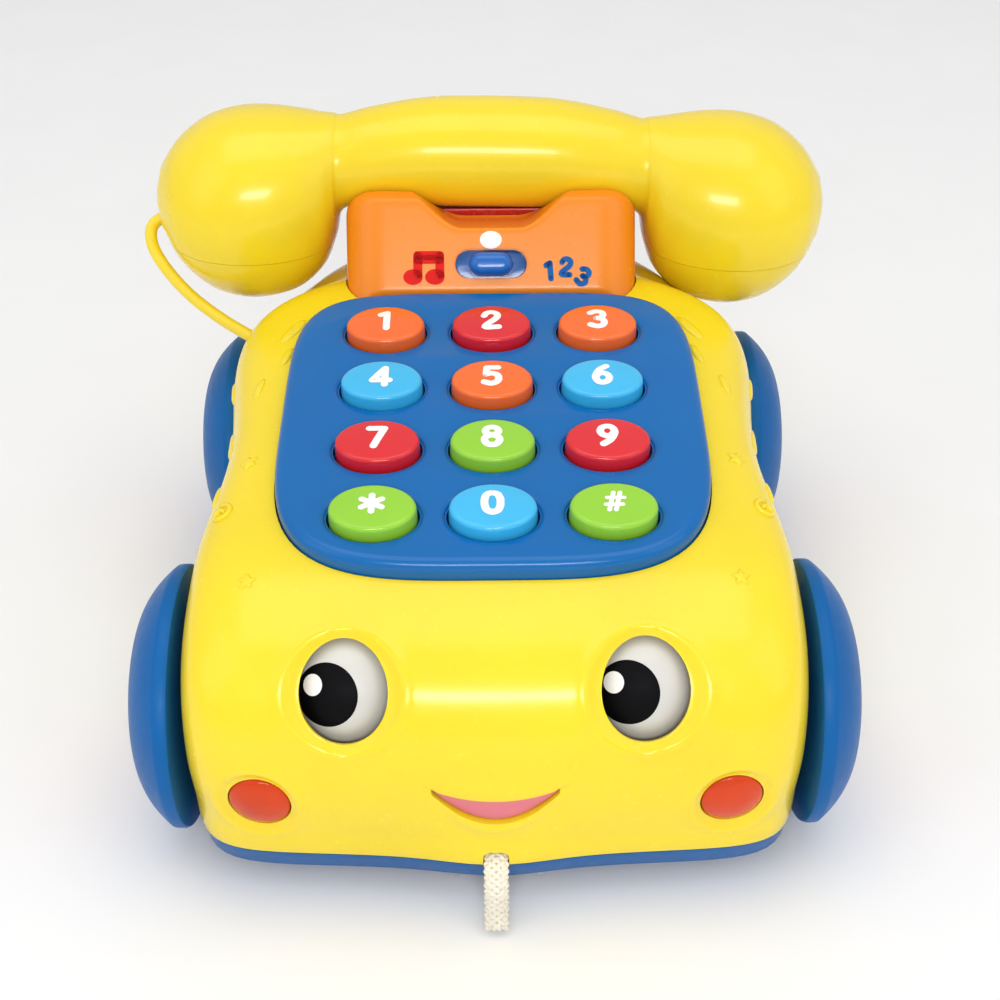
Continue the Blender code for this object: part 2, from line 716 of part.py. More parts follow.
def keypad_panel():
    outline = superellipse(
        PANEL_HALF_WIDTH, PANEL_HALF_LENGTH, PANEL_SQUARENESS_FRONT, PANEL_SQUARENESS_REAR, 32
    )
    panel = place(slab("panel", outline, -PANEL_DEPTH, 0.0, roll=PANEL_ROLL), keypad_frame())
    inner = superellipse(
        PANEL_HALF_WIDTH - 2.6 * MM,
        PANEL_HALF_LENGTH - 2.6 * MM,
        PANEL_SQUARENESS_FRONT,
        PANEL_SQUARENESS_REAR,
        32,
    )
    cut(panel, place(slab("panel_hollow", inner, -20 * MM, -PANEL_TOP), keypad_frame()))
    for name, place_at in key_places():
        radii = (KEY_HALF_WIDTH + 0.35 * MM, KEY_HALF_LENGTH + 0.35 * MM)
        hole = oval_bar(f"hole_{name}", radii, -6 * MM, 3 * MM, steps=KEY_STEPS)
        hole.matrix_world = keypad_frame() @ Matrix.Translation(place_at) @ Matrix.Diagonal((*hole.scale, 1))
        cut(panel, hole)
    keep(panel, "keypad_panel", "blue")


def key_places():
    for row, names in enumerate(KEY_NAMES):
        for column, name in enumerate(names):
            yield name, Vector((KEY_PITCH_X * (column - 1), KEY_FIRST_ROW + KEY_PITCH_Y * row, 0.0))


def keys():
    """Twelve hollow oval buttons, each domed, with a flange under the panel that stops it coming out."""
    flange_top = -PANEL_TOP - GAP
    profile = [
        (0.0, KEY_RISE),
        (0.6, KEY_RISE - 0.2 * MM),
        (0.9, KEY_RISE - 0.8 * MM),
        (1.0, KEY_RISE - 1.6 * MM),
        (1.0, flange_top),
        (1.12, flange_top),
        (1.12, flange_top - 1.0 * MM),
        (0.72, flange_top - 1.0 * MM),
        (0.66, -0.6 * MM),
        (0.0, -0.6 * MM),
    ]
    for name, place_at in key_places():
        key = turned(name, profile, KEY_STEPS)
        oval = Matrix.Diagonal((KEY_HALF_WIDTH, KEY_HALF_LENGTH, 1.0, 1.0))
        key.matrix_world = keypad_frame() @ Matrix.Translation(place_at) @ oval
        colour = next(colour for colour, names in KEY_COLOURS.items() if name in names)
        keep(key, name, colour)


def membrane_and_board():
    """The rubber sheet with a dome under each key, and the board its contacts close on."""
    outline = superellipse(41 * MM, 40.5 * MM, 5.0, 6.0, 24)
    sheet = place(slab("sheet", outline, MEMBRANE_TOP - MM, MEMBRANE_TOP), keypad_frame())
    for name, place_at in key_places():
        dome = turned(
            f"dome_{name}",
            [
                (0.0, -2.8 * MM),
                (2.6 * MM, -3.0 * MM),
                (3.6 * MM, MEMBRANE_TOP - 0.5 * MM),
                (0.0, MEMBRANE_TOP - 0.5 * MM),
            ],
            10,
        )
        dome.matrix_world = keypad_frame() @ Matrix.Translation(place_at)
        join(sheet, dome)
    keep(sheet, "keypad_membrane", "rubber")
    board = slab("keypad_board", outline, BOARD_TOP - 1.6 * MM, BOARD_TOP)
    keep(place(board, keypad_frame()), "keypad_board", "board")


# Cradle, switches and handset


def face_matrix(up_face):
    """A frame on the cradle's sloping face: X across, Y up the face, Z out of it."""
    lean = Matrix.Rotation(CRADLE_FACE_SLOPE, 4, "X")
    along = Vector((0.0, math.cos(CRADLE_FACE_SLOPE), math.sin(CRADLE_FACE_SLOPE)))
    return Matrix.Translation(CRADLE_FACE_FOOT + up_face * along) @ lean


def slot_outline(half_width, half_height, steps=6):
    """A slot with round ends."""
    points = []
    for end in (1, -1):
        for step in range(steps + 1):
            angle = math.pi * (step / steps - 0.5)
            x = half_width - half_height + half_height * math.cos(angle)
            points.append((end * x, end * half_height * math.sin(angle)))
    return points


def handset_form(name, grow=0.0, around=16, steps=1):
    """The closed form of the handset: a bar between two round lobes, lying along X."""
    middle = np.array(HANDSET_STATIONS[0])
    mirror = np.array((-1.0, 1.0, 1.0, 1.0))
    right = spline([middle, *HANDSET_STATIONS[1:]], steps, closed=False)[1:]
    bm = bmesh.new()
    rings = []
    for x, top, bottom, depth in [*(row * mirror for row in reversed(right)), middle, *right]:
        ring = []
        for index in range(around):
            angle = 2 * math.pi * index / around
            y = HANDSET_Y + depth * MM * math.sin(angle)
            z = ((top + bottom) / 2 + (top - bottom) / 2 * math.cos(angle)) * MM
            ring.append(bm.verts.new((x * MM, y, z)))
        rings.append(ring)
    for ring, after in zip(rings, rings[1:]):
        for i in range(around):
            j = (i + 1) % around
            bm.faces.new((ring[i], ring[j], after[j], after[i]))
    for ring, side in ((rings[0], -1), (rings[-1], 1)):
        tip = bm.verts.new((side * HANDSET_HALF_LENGTH, HANDSET_Y, HANDSET_MIDDLE_Z))
        for i in range(around):
            bm.faces.new((ring[i], ring[(i + 1) % around], tip))
    bmesh.ops.recalc_face_normals(bm, faces=bm.faces)
    if grow:
        bm.normal_update()
        for vert, normal in [(v, v.normal.copy()) for v in bm.verts]:
            vert.co += normal * grow
    return mesh_object(name, bm)


def handset_piece(name, up):
    """A shell of the handset's form above the seam in its lobes, or below it if up is -1."""
    overlap = 3 * MM
    form = open_at(handset_form(name), HANDSET_SEAM_Z - up * overlap, up)
    skin = form.modifiers.new("wall", "SOLIDIFY")
    skin.thickness = WALL
    skin.offset = -1.0
    return form


def handset():
    middle = (0.0, HANDSET_Y, HANDSET_MIDDLE_Z)
    shell = keep(pivot(handset_piece("shell", 1), middle), "handset_shell", "yellow")
    cut(shell, box("below_seam", (-0.1, 0.0, 0.05), (0.1, 0.12, HANDSET_SEAM_Z + GAP / 2)))
    for name, side in (("mouthpiece_cap", -1), ("earpiece_cap", 1)):
        cap = keep(handset_piece(name, -1), name, "yellow")
        bm = bmesh.new()
        bm.from_mesh(cap.data)
        other = [v for v in bm.verts if v.co.x * side < 0]
        bmesh.ops.delete(bm, geom=other, context="VERTS")
        bm.to_mesh(cap.data)
        bm.free()
        pivot(cap, middle)
        cut(cap, box(f"above_{name}", (-0.1, 0.0, HANDSET_SEAM_Z - GAP / 2), (0.1, 0.12, 0.15)))


def scoop():
    """The dip in the front of the cradle: low in the middle, rising smoothly to a shoulder on each side."""
    low_half, high_half, rise, count = 14 * MM, 25 * MM, 9 * MM, 8
    curve = []
    for index in range(count + 1):
        t = index / count
        x = low_half + (high_half - low_half) * t
        curve.append((x, rise * t * t * (3 - 2 * t)))
    outline = [(-x, h) for x, h in reversed(curve)] + curve
    outline += [(high_half, 20 * MM), (-high_half, 20 * MM)]
    lip_y = CRADLE_FACE_FOOT.y + (LIP_Z - CRADLE_FACE_FOOT.z) / math.tan(CRADLE_FACE_SLOPE)
    stand = Matrix.Translation((0.0, lip_y, LIP_Z)) @ Matrix.Rotation(math.radians(75), 4, "X")
    return place(slab("scoop", outline, -14.5 * MM, 10 * MM), stand)


def cradle():
    body = keep(across_slab("cradle", cradle_outline(), CRADLE_HALF_WIDTH), "cradle", "orange")
    inside(body, cradle_column("cradle_column"))
    room = [
        (36.0 * MM, 55 * MM),
        (36.0 * MM, 85.8 * MM),
        (42.0 * MM, 96.2 * MM),
        (46.0 * MM, 95.2 * MM),
        (55.0 * MM, 92.8 * MM),
        (76.0 * MM, 92.8 * MM),
        (76.0 * MM, 55 * MM),
    ]
    hollow = across_slab("cradle_room", room, CRADLE_HALF_WIDTH - WALL)
    half_slot = (SLOT_HALF_WIDTH, SLOT_HALF_HEIGHT)
    slot = place(slab("slider_slot", slot_outline(*half_slot), -8 * MM, 8 * MM), face_matrix(SLOT_UP_FACE))
    pocket_half = HOOK_HALF_WIDTH + 0.35 * MM
    pocket = box("hook_pocket", (-pocket_half, 55.0 * MM, 85 * MM), (pocket_half, 70.0 * MM, 108 * MM))
    cut(
        body,
        handset_form("trough", grow=0.45 * MM),
        scoop(),
        inside(hollow, cradle_column("room_column", -WALL)),
        slot,
        pocket,
    )


def hook_button():
    """The bar under the handset that rises when it is lifted off."""
    half = HOOK_HALF_WIDTH
    button = box("hook", (-half, 55.35 * MM, 89.0 * MM), (half, 69.65 * MM, 99 * MM))
    flange_half = half + 2 * MM
    flange = box("hook_flange", (-flange_half, 53.5 * MM, 87.6 * MM), (flange_half, 71.5 * MM, 89.4 * MM))
    cut(join(button, flange), handset_form("hook_top", grow=0.4 * MM))
    keep(pivot(button, (0.0, HANDSET_Y, 89.0 * MM)), "hook_button", "red")


def mode_slider():
    frame = face_matrix(SLOT_UP_FACE)
    knob = place(slab("knob", slot_outline(5.6 * MM, 3.1 * MM), -3.0 * MM, 1.9 * MM, roll=0.8 * MM), frame)
    plate = place(
        slab("slider_plate", slot_outline(13 * MM, 4.8 * MM), -3.7 * MM, -2.5 * MM), frame
    )
    keep(join(knob, plate), "mode_slider", "blue")
    switch = box("switch", (-6 * MM, -3 * MM, -8.5 * MM), (6 * MM, 3 * MM, -4.2 * MM))
    keep(place(switch, frame), "mode_switch", "black")


# Face


def eyes():
    for name, side in (("eyeball_left", -1), ("eyeball_right", 1)):
        rings = 5
        inner = EYE_RADIUS - 1.8 * MM
        profile = []
        for radius, order in ((EYE_RADIUS, range(rings + 1)), (inner, range(rings, -1, -1))):
            for step in order:
                angle = math.pi / 2 * step / rings
                profile.append((radius * math.sin(angle), radius * math.cos(angle)))
        ball = turned(name, profile, 16)
        ball.matrix_world = eye_frame(side, EYE_REST_SWING) @ Matrix.Rotation(math.pi / 2, 4, "X")
        pin = 1.6 * MM
        upright = eye_frame(side, EYE_REST_SWING)
        for end in (-1, 1):
            low, high = sorted((end * (inner + 0.6 * MM), end * (EYE_RADIUS + 2.4 * MM)))
            join(ball, place(rod(f"{name}_pin{end}", (0, 0, low), (0, 0, high), pin, steps=10), upright))
        tab = box(f"{name}_tab", (-1.6 * MM, -13.4 * MM, -2 * MM), (1.6 * MM, EYE_TAB + 2 * MM, 2 * MM))
        peg = rod(f"{name}_peg", (0, EYE_TAB, 1 * MM), (0, EYE_TAB, 6 * MM), 1.2 * MM, steps=10)
        join(ball, place(tab, upright), place(peg, upright))
        keep(ball, name, "white")


def eye_link():
    """The bar that joins the tabs behind the eyes, with a fork that straddles the cam on the axle."""
    frame = eye_frame(0)
    shift = EYE_TAB * math.sin(-EYE_REST_SWING)
    along = EYE_TAB * math.cos(EYE_REST_SWING)
    low = (shift - EYE_X - 3 * MM, along - 2.6 * MM, 2.6 * MM)
    high = (shift + EYE_X + 3 * MM, along + 2.6 * MM, 4.6 * MM)
    link = place(box("link", low, high), frame)
    for side in (-1, 1):
        peg_x = shift + side * EYE_X
        hole = rod(f"link_hole{side}", (peg_x, along, 0), (peg_x, along, 8 * MM), 1.75 * MM, steps=12)
        cut(link, place(hole, frame))
        inner, outer = sorted((shift + side * 6.4 * MM, shift + side * 8.4 * MM))
        low = (inner, -55.5 * MM, WHEEL_RADIUS + 3.5 * MM)
        prong = box(f"prong{side}", low, (outer, FRONT_AXLE_Y + 0.5 * MM, 46.2 * MM))
        join(link, prong)
    keep(link, "eye_link", "black")


def eye_bracket():
    """The plate both eyes turn in, on pins above and below each ball."""
    half_width, half_height = EYE_X + 18 * MM, 17.4 * MM
    frame = eye_frame(0)
    plate = place(
        box("bracket", (-half_width, -1.9 * MM, -half_height), (half_width, 1.9 * MM, half_height)), frame
    )
    for side in (-1, 1):
        low, high = (side * EYE_X, -5 * MM, 0), (side * EYE_X, 5 * MM, 0)
        cut(plate, place(rod(f"ball_room{side}", low, high, EYE_RADIUS + 0.5 * MM, steps=28), frame))
        low, high = (side * EYE_X, 0, -20 * MM), (side * EYE_X, 0, 20 * MM)
        cut(plate, place(rod(f"pin_room{side}", low, high, 1.75 * MM, steps=12), frame))
    keep(plate, "eye_bracket", "black")


def headlights():
    """Lenses from inside the shell, each with a flange that follows the inner face of its wall."""
    room = body_form("lens_room", inset=WALL + GAP)
    for name, side in (("left", -1), ("right", 1)):
        centre = (side * HEADLIGHT.x, HEADLIGHT.y, HEADLIGHT.z)
        profile = [
            (0.0, 0.5 * MM),
            (0.5, 0.3 * MM),
            (0.84, -0.3 * MM),
            (0.95, -1.1 * MM),
            (0.95, -2.8 * MM),
            (0.0, -2.8 * MM),
        ]
        lens = turned(f"lens_{name}", profile, 20)
        lens.scale = (*HEADLIGHT_RADII, 1.0)
        radii = [1.12 * radius for radius in HEADLIGHT_RADII]
        flange = stand_at(oval_bar(f"flange_{name}", radii, -3.3 * MM, -0.8 * MM, steps=20), centre)
        join(lens, inside(flange, room))
        keep(stand_at(lens, centre), f"headlight_lens_{name}", "lens")
        start, end = centre[1] + 3.8 * MM, centre[1] + 6.6 * MM
        lamp = rod("led", (centre[0], end, centre[2]), (centre[0], start, centre[2]), 2.5 * MM, 10, 1.6 * MM)
        keep(lamp, f"headlight_led_{name}", "red")


# Wheels


def wheel_profile():
    crown = WHEEL_RADIUS / math.cos(math.pi / WHEEL_STEPS)
    dome = []
    for radius in (HUB_RADIUS, 18.5 * MM, 22.5 * MM, 26 * MM, 28 * MM):
        fall = (radius - DOME_FLAT_RADIUS) / (WHEEL_RADIUS - DOME_FLAT_RADIUS)
        dome.append((radius, CROWN_X + DOME_RISE * (1 - fall**DOME_FULLNESS)))
    return [
        (0.0, HUB_SEAT_X),
        (HUB_RADIUS, HUB_SEAT_X),
        *dome,
        (crown, CROWN_X),
        (crown - 0.9 * MM, CROWN_X - 1.4 * MM),
        (crown - 2.4 * MM, WHEEL_INNER_X + 0.4 * MM),
        (crown - 4.5 * MM, WHEEL_INNER_X),
        (AXLE_RADIUS + 0.1 * MM, WHEEL_INNER_X),
        (AXLE_RADIUS + 0.1 * MM, AXLE_HALF_LENGTH + 0.4 * MM),
        (0.0, AXLE_HALF_LENGTH + 0.4 * MM),
    ]


def wheels():
    cap = [
        (0.0, 78.6 * MM),
        (5.0 * MM, 78.4 * MM),
        (10.0 * MM, 77.9 * MM),
        (HUB_RADIUS - GAP, 77.2 * MM),
        (HUB_RADIUS - GAP, HUB_SEAT_X + GAP),
        (0.0, HUB_SEAT_X + GAP),
    ]
    for name, side, y in wheel_places():
        half_step = Matrix.Rotation(math.pi / WHEEL_STEPS, 4, "Z")
        wheel = toward_side(turned(name, wheel_profile(), WHEEL_STEPS), side, y)
        wheel.matrix_world = wheel.matrix_world @ half_step
        keep(wheel, f"wheel_{name}", "blue")
        keep(toward_side(turned("cap", cap, 18), side, y), f"hub_cap_{name}", "orange")
    for end, y in (("front", FRONT_AXLE_Y), ("rear", REAR_AXLE_Y)):
        ends = [(side * AXLE_HALF_LENGTH, y, WHEEL_RADIUS) for side in (-1, 1)]
        axle = pivot(rod(f"axle_{end}", *ends, AXLE_RADIUS, steps=16), (0.0, y, WHEEL_RADIUS))
        keep(axle, f"axle_{end}", "steel")


def eye_cam():
    """A tilted disc on the front axle whose rim sways from side to side as the axle turns."""
    centre = Vector((0.0, FRONT_AXLE_Y, WHEEL_RADIUS))
    lean = Vector((math.cos(math.radians(13)), math.sin(math.radians(13)), 0.0))
    disc = rod("cam", centre - lean * 1.5 * MM, centre + lean * 1.5 * MM, 8 * MM, steps=20)
    bore = [centre + Vector((side * 10 * MM, 0, 0)) for side in (-1, 1)]
    cut(disc, rod("cam_bore", *bore, AXLE_RADIUS + 0.15 * MM, steps=16))
    keep(pivot(disc, centre), "eye_cam", "black")


# Cords


def cord(name, stations, radius, colour, width=1.0):
    """A bent round cord through these points; width stretches it across X."""
    points = spline(stations, 3, closed=False)
    curve = bpy.data.curves.new(name, "CURVE")
    curve.dimensions = "3D"
    curve.bevel_depth = radius
    curve.bevel_resolution = 2
    curve.use_fill_caps = True
    path = curve.splines.new("POLY")
    path.points.add(len(points) - 1)
    for point, place_at in zip(path.points, points):
        point.co = (place_at[0] * MM / width, place_at[1] * MM, place_at[2] * MM, 1.0)
    obj = bpy.data.objects.new(name, curve)
    obj.scale = (width, 1.0, 1.0)
    PARTS.objects.link(obj)
    curve.materials.append(material(colour))
    return obj


def smile_insert():
    keep(smile("smile", 0.0, -84.5 * MM, -81.4 * MM), "smile_insert", "pink")


for old in list(bpy.data.objects):
    bpy.data.objects.remove(old)
PARTS = collection("toy_telephone")
CUTTERS = collection("cutters")

upper_shell()
base_tray()
battery_cover()
batteries()
boards_and_speaker()
screws()
keypad_panel()
keys()
membrane_and_board()
cradle()
hook_button()
mode_slider()
handset()
eyes()
eye_link()
eye_bracket()
headlights()
smile_insert()
wheels()
eye_cam()
cord("handset_cord", HANDSET_CORD, 1.35 * MM, "yellow")
cord("pull_cord", PULL_CORD, 1.15 * MM, "cord", width=1.95)
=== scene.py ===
"""Looks of the pull-along toy telephone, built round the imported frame.

The mouldings that show are made again as fine meshes on the frame's own places, and every piece, new or
carried over, gets a procedural plastic, metal or cord material. Lengths are in metres.
"""

import json
import math

import bmesh
import bpy
import numpy as np
from mathutils import Matrix, Vector
from mathutils.bvhtree import BVHTree


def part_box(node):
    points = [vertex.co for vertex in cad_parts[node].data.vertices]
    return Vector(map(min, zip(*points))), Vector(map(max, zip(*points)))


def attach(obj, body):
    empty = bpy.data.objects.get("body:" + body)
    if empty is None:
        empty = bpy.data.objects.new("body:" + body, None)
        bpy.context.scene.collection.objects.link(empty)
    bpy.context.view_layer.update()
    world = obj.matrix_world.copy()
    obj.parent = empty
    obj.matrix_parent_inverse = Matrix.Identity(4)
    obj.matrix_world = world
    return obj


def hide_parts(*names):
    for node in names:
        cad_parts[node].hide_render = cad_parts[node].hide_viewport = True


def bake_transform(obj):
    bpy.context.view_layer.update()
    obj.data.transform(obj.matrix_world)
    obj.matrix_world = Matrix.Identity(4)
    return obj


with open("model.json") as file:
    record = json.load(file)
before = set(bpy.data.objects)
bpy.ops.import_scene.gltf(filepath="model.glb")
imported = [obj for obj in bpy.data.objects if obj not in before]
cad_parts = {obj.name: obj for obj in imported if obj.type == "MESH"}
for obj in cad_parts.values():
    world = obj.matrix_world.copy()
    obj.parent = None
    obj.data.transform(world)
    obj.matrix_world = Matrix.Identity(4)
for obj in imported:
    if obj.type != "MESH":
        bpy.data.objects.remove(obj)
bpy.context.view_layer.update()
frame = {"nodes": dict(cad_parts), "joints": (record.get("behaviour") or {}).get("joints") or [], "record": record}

MM = 0.001
GAP = 0.3 * MM
WELD_DISTANCE = 0.002 * MM
WALL = 2.2 * MM
JOINTS = {joint["name"]: joint for joint in frame["joints"]}
KEY_NAMES = ["star", "0", "hash", "7", "8", "9", "4", "5", "6", "1", "2", "3"]


def farthest(node, direction):
    """The point of a CAD node that lies farthest in a direction."""
    points = [vertex.co for vertex in frame["nodes"][node].data.vertices]
    return Vector(max(points, key=lambda point: point.dot(direction)))


def middle(node):
    low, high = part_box(node)
    return (low + high) / 2


# Places taken from the frame
FRONT_AXLE = Vector(JOINTS["front_axle_spin"]["pos_m"])
REAR_AXLE = Vector(JOINTS["rear_axle_spin"]["pos_m"])
WHEEL_RADIUS = FRONT_AXLE.z
KEYPAD_UP = -Vector(JOINTS["key_5_press"]["axis"]).normalized()
KEYPAD_TILT = math.asin(-KEYPAD_UP.y)
KEY_RISE = 3.0 * MM
KEY_PLACES = {name: farthest(f"key_{name}", KEYPAD_UP) - KEY_RISE * KEYPAD_UP for name in KEY_NAMES}
KEY_ROWS_OFF_MIDDLE = 1.1 * MM  # the keys' middle lies this far in front of the panel's
KEYPAD_CENTRE = sum(KEY_PLACES.values(), Vector()) / len(KEY_PLACES) + KEY_ROWS_OFF_MIDDLE * Vector(
    (0.0, math.cos(KEYPAD_TILT), math.sin(KEYPAD_TILT))
)
EYE_CENTRES = {side: Vector(JOINTS[f"eye_{side}_swing"]["pos_m"]) for side in ("left", "right")}
EYE_LEAN = math.asin(JOINTS["eye_right_swing"]["axis"][1])
BODY_HALF_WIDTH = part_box("upper_shell")[1].x
SHELL_BOTTOM_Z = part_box("upper_shell")[0].z
BASE_BOTTOM_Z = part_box("base_tray")[0].z
CRADLE_HALF_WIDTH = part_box("cradle")[1].x
HANDSET_MIDDLE = Vector((0.0, middle("handset_shell").y, 96.4 * MM))
HANDSET_HALF_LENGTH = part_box("handset_shell")[1].x
SIDES = {"left": -1, "right": 1}

# Body, seen from the side: y and z in millimetres and how square the section across the body is there
BODY_CENTRE = Vector((0.0, -7.5 * MM, 35.0 * MM))
BODY_OUTLINE = [
    (-79.0, 8.0, 10.0),
    (-82.0, 21.0, 10.0),
    (-83.3, 34.0, 10.5),
    (-81.3, 47.0, 10.0),
    (-75.0, 57.5, 9.0),
    (-63.5, 65.5, 7.8),
    (-49.5, 70.0, 7.5),
    (-22.5, 74.3, 7.0),
    (7.5, 79.0, 7.0),
    (34.0, 83.2, 6.0),
    (52.0, 84.8, 3.0),
    (67.0, 83.5, 2.8),
    (77.5, 77.0, 3.0),
    (83.5, 65.0, 4.5),
    (85.0, 46.0, 7.0),
    (83.5, 22.0, 9.0),
    (80.0, 6.0, 9.0),
    (60.0, -18.0, 9.0),
    (0.0, -30.0, 9.0),
    (-62.0, -16.0, 10.0),
]
WAIST_DEPTH = 4.1 * MM  # the sides draw in this much at the waist
WAIST_Y = -7.0 * MM
WAIST_LENGTH = 27.0 * MM
NOSE_CROWN = 1.8 * MM
CHIN_RISE = 2.4 * MM
CHIN_WIDTH = 15.0 * MM
CHIN_TOP_Z = 30.0 * MM
CHIN_FADE = 16.0 * MM
AXLE_SLOT_X = (56.0 * MM, 72.0 * MM)
AXLE_SLOT_HALF = 2.3 * MM

# Keypad panel and keys
PANEL_HALF = (47.3 * MM, 46.0 * MM)
PANEL_SQUARENESS = (3.8, 5.0)
PANEL_DEPTH = 8.0 * MM
KEY_HALF = (9.4 * MM, 6.9 * MM)
KEY_CROWN = 0.45 * MM
KEY_SHOULDER = 0.86  # where its round edge starts, as a share of its half width

# Cradle
CRADLE_FOOT = Vector((0.0, 33.4 * MM, 85.6 * MM))
CRADLE_SLOPE = math.radians(60.0)
CRADLE_RISE = 24.0 * MM
CORNER_RADIUS = 10.0 * MM
LIP_Z = 98.7 * MM
SLOT_UP_FACE = 6.4 * MM

# Handset: x, top z, bottom z and half depth in millimetres
HANDSET_STATIONS = [
    (0.0, 123.4, 96.0, 13.7),
    (16.0, 122.9, 95.9, 13.4),
    (30.0, 120.4, 95.6, 12.2),
    (37.6, 118.3, 94.6, 11.6),
    (39.6, 118.6, 87.5, 13.2),
    (42.6, 118.7, 80.0, 16.5),
    (48.5, 119.4, 74.0, 20.2),
    (56.0, 120.0, 71.2, 22.6),
    (64.0, 119.5, 70.8, 23.0),
    (72.0, 116.9, 73.4, 21.0),
    (79.0, 111.6, 79.6, 16.2),
    (83.4, 105.4, 87.4, 9.2),
]
HANDSET_SEAM_Z = 88.0 * MM
HANDSET_TILT = math.radians(1.3)  # it lies a little askew in its cradle

# Face
EYE_RADIUS = 14.5 * MM
EYE_OPENING = (8.9 * MM, 10.5 * MM)
EYE_OPENING_RISE = 1.1 * MM  # the opening sits this far above the middle of the ball
SOCKET_RADIUS = 12.4 * MM
PUPIL_RADIUS = 6.5 * MM
GLINT_RADIUS = 2.2 * MM
GLINT_OFFSET = (-3.1 * MM, 2.0 * MM)
EYEBALL_WALL = 1.6 * MM
EYEBALL_ARC = math.radians(80)  # from the front of the ball to its edge
EYE_REST = math.radians(-15.5)  # how far the eyes are turned sideways at rest
LAMP_RADII = (6.6 * MM, 7.0 * MM)
LAMP_SHIFT = Vector((1.0 * MM, 0.0, -0.6 * MM))  # outwards and down from the CAD lens
SMILE_HALF_WIDTH = 12.8 * MM
SMILE_CORNER_Z = 34.7 * MM
SMILE_DIPS = (2.9 * MM, 9.0 * MM)
SMILE_TIP = 0.8 * MM

# Wheels
HUB_RADIUS = 14.5 * MM
CROWN_X = 69.5 * MM
DOME_RISE = 8.6 * MM
DOME_FULLNESS = 3.0
DOME_FLAT_RADIUS = 8.0 * MM
WHEEL_INNER_X = 66.8 * MM
HUB_SEAT_X = 75.6 * MM
HUB_TOP_X = 78.2 * MM


# Mesh tools


def new_object(name, shape):
    """A scene object for a mesh, or for a bmesh, which is freed."""
    mesh = shape
    if isinstance(shape, bmesh.types.BMesh):
        mesh = bpy.data.meshes.new(name)
        shape.to_mesh(mesh)
        shape.free()
    obj = bpy.data.objects.new(name, mesh)
    bpy.context.scene.collection.objects.link(obj)
    return obj


def mesh_piece(name, points, faces):
    """A smooth mesh object from points and faces, its faces turned outwards."""
    mesh = bpy.data.meshes.new(name)
    mesh.from_pydata([tuple(point) for point in points], [], faces)
    bm = bmesh.new()
    bm.from_mesh(mesh)
    bmesh.ops.recalc_face_normals(bm, faces=bm.faces)
    bm.to_mesh(mesh)
    bm.free()
    mesh.shade_smooth()
    return new_object(name, mesh)


def soften(obj, degrees=35):
    obj.data.shade_smooth()
    obj.data.set_sharp_from_angle(angle=math.radians(degrees))
    return obj


def grid_faces(rows, columns, close_rows=False, close_columns=False):
    """Quads over a grid of points stored row by row."""
    faces = []
    for row in range(rows if close_rows else rows - 1):
        here = row * columns
        after = (row + 1) % rows * columns
        for column in range(columns if close_columns else columns - 1):
            beside = (column + 1) % columns
            faces.append((here + column, here + beside, after + beside, after + column))
    return faces


def apply_modifiers(obj):
    """Turns an object's modifiers into its own mesh."""
    graph = bpy.context.evaluated_depsgraph_get()
    mesh = bpy.data.meshes.new_from_object(obj.evaluated_get(graph))
    obj.modifiers.clear()
    obj.data = mesh
    return obj


def place(obj, matrix):
    obj.data.transform(matrix)
    return obj


def combine(obj, tool, operation, keep_tool=False):
    """Joins, cuts or intersects obj with another closed shape."""
    step = obj.modifiers.new("shape", "BOOLEAN")
    step.object = tool
    step.operation = operation
    step.solver = "EXACT"
    apply_modifiers(obj)
    if not keep_tool:
        bpy.data.objects.remove(tool)
    return obj


def cut(obj, *tools):
    for tool in tools:
        combine(obj, tool, "DIFFERENCE")
    return obj


def together(name, shapes):
    """Several separate shapes as one object."""
    bm = bmesh.new()
    for shape in shapes:
        bm.from_mesh(shape.data)
        bpy.data.objects.remove(shape)
    return new_object(name, bm)


def box(low, high):
    low, high = Vector(low), Vector(high)
    bm = bmesh.new()
    bmesh.ops.create_cube(bm, size=1.0)
    bmesh.ops.scale(bm, vec=high - low, verts=bm.verts)
    bmesh.ops.translate(bm, vec=(low + high) / 2, verts=bm.verts)
    return new_object("box", bm)


def weld(obj):
    """Merges the points that coincide and turns the faces outwards."""
    bm = bmesh.new()
    bm.from_mesh(obj.data)
    bmesh.ops.remove_doubles(bm, verts=bm.verts, dist=WELD_DISTANCE)
    bmesh.ops.dissolve_degenerate(bm, edges=bm.edges, dist=WELD_DISTANCE)
    bmesh.ops.recalc_face_normals(bm, faces=bm.faces)
    bm.to_mesh(obj.data)
    bm.free()
    return soften(obj)


def push_skin(obj, rise):
    """Moves every point of a closed form along its normal: rise(places, normals) says how far."""
    places = np.array([vertex.co for vertex in obj.data.vertices])
    normals = np.array([vertex.normal for vertex in obj.data.vertices])
    pushed = places + normals * rise(places, normals)[:, None]
    obj.data.vertices.foreach_set("co", pushed.ravel())
    obj.data.update()
    return obj


def turned(name, profile, steps=96, radii=(1.0, 1.0)):
    """A closed shape turned about Z from (radius, height) points; radii stretch it into an oval."""
    count = len(profile)
    points = []
    for step in range(steps):
        angle = 2 * math.pi * step / steps
        for radius, height in profile:
            points.append((radius * radii[0] * math.cos(angle), radius * radii[1] * math.sin(angle), height))
    faces = []
    for step in range(steps):
        after = (step + 1) % steps
        for row in range(count - 1):
            quad = (step * count + row, after * count + row, after * count + row + 1, step * count + row + 1)
            faces.append(quad)
    return weld(mesh_piece(name, points, faces))


def drilled(radius, low, high):
    """The round bar that a drill of this radius would take out."""
    return turned("hole", [(0.0, high), (radius, high), (radius, low), (0.0, low)], 24)


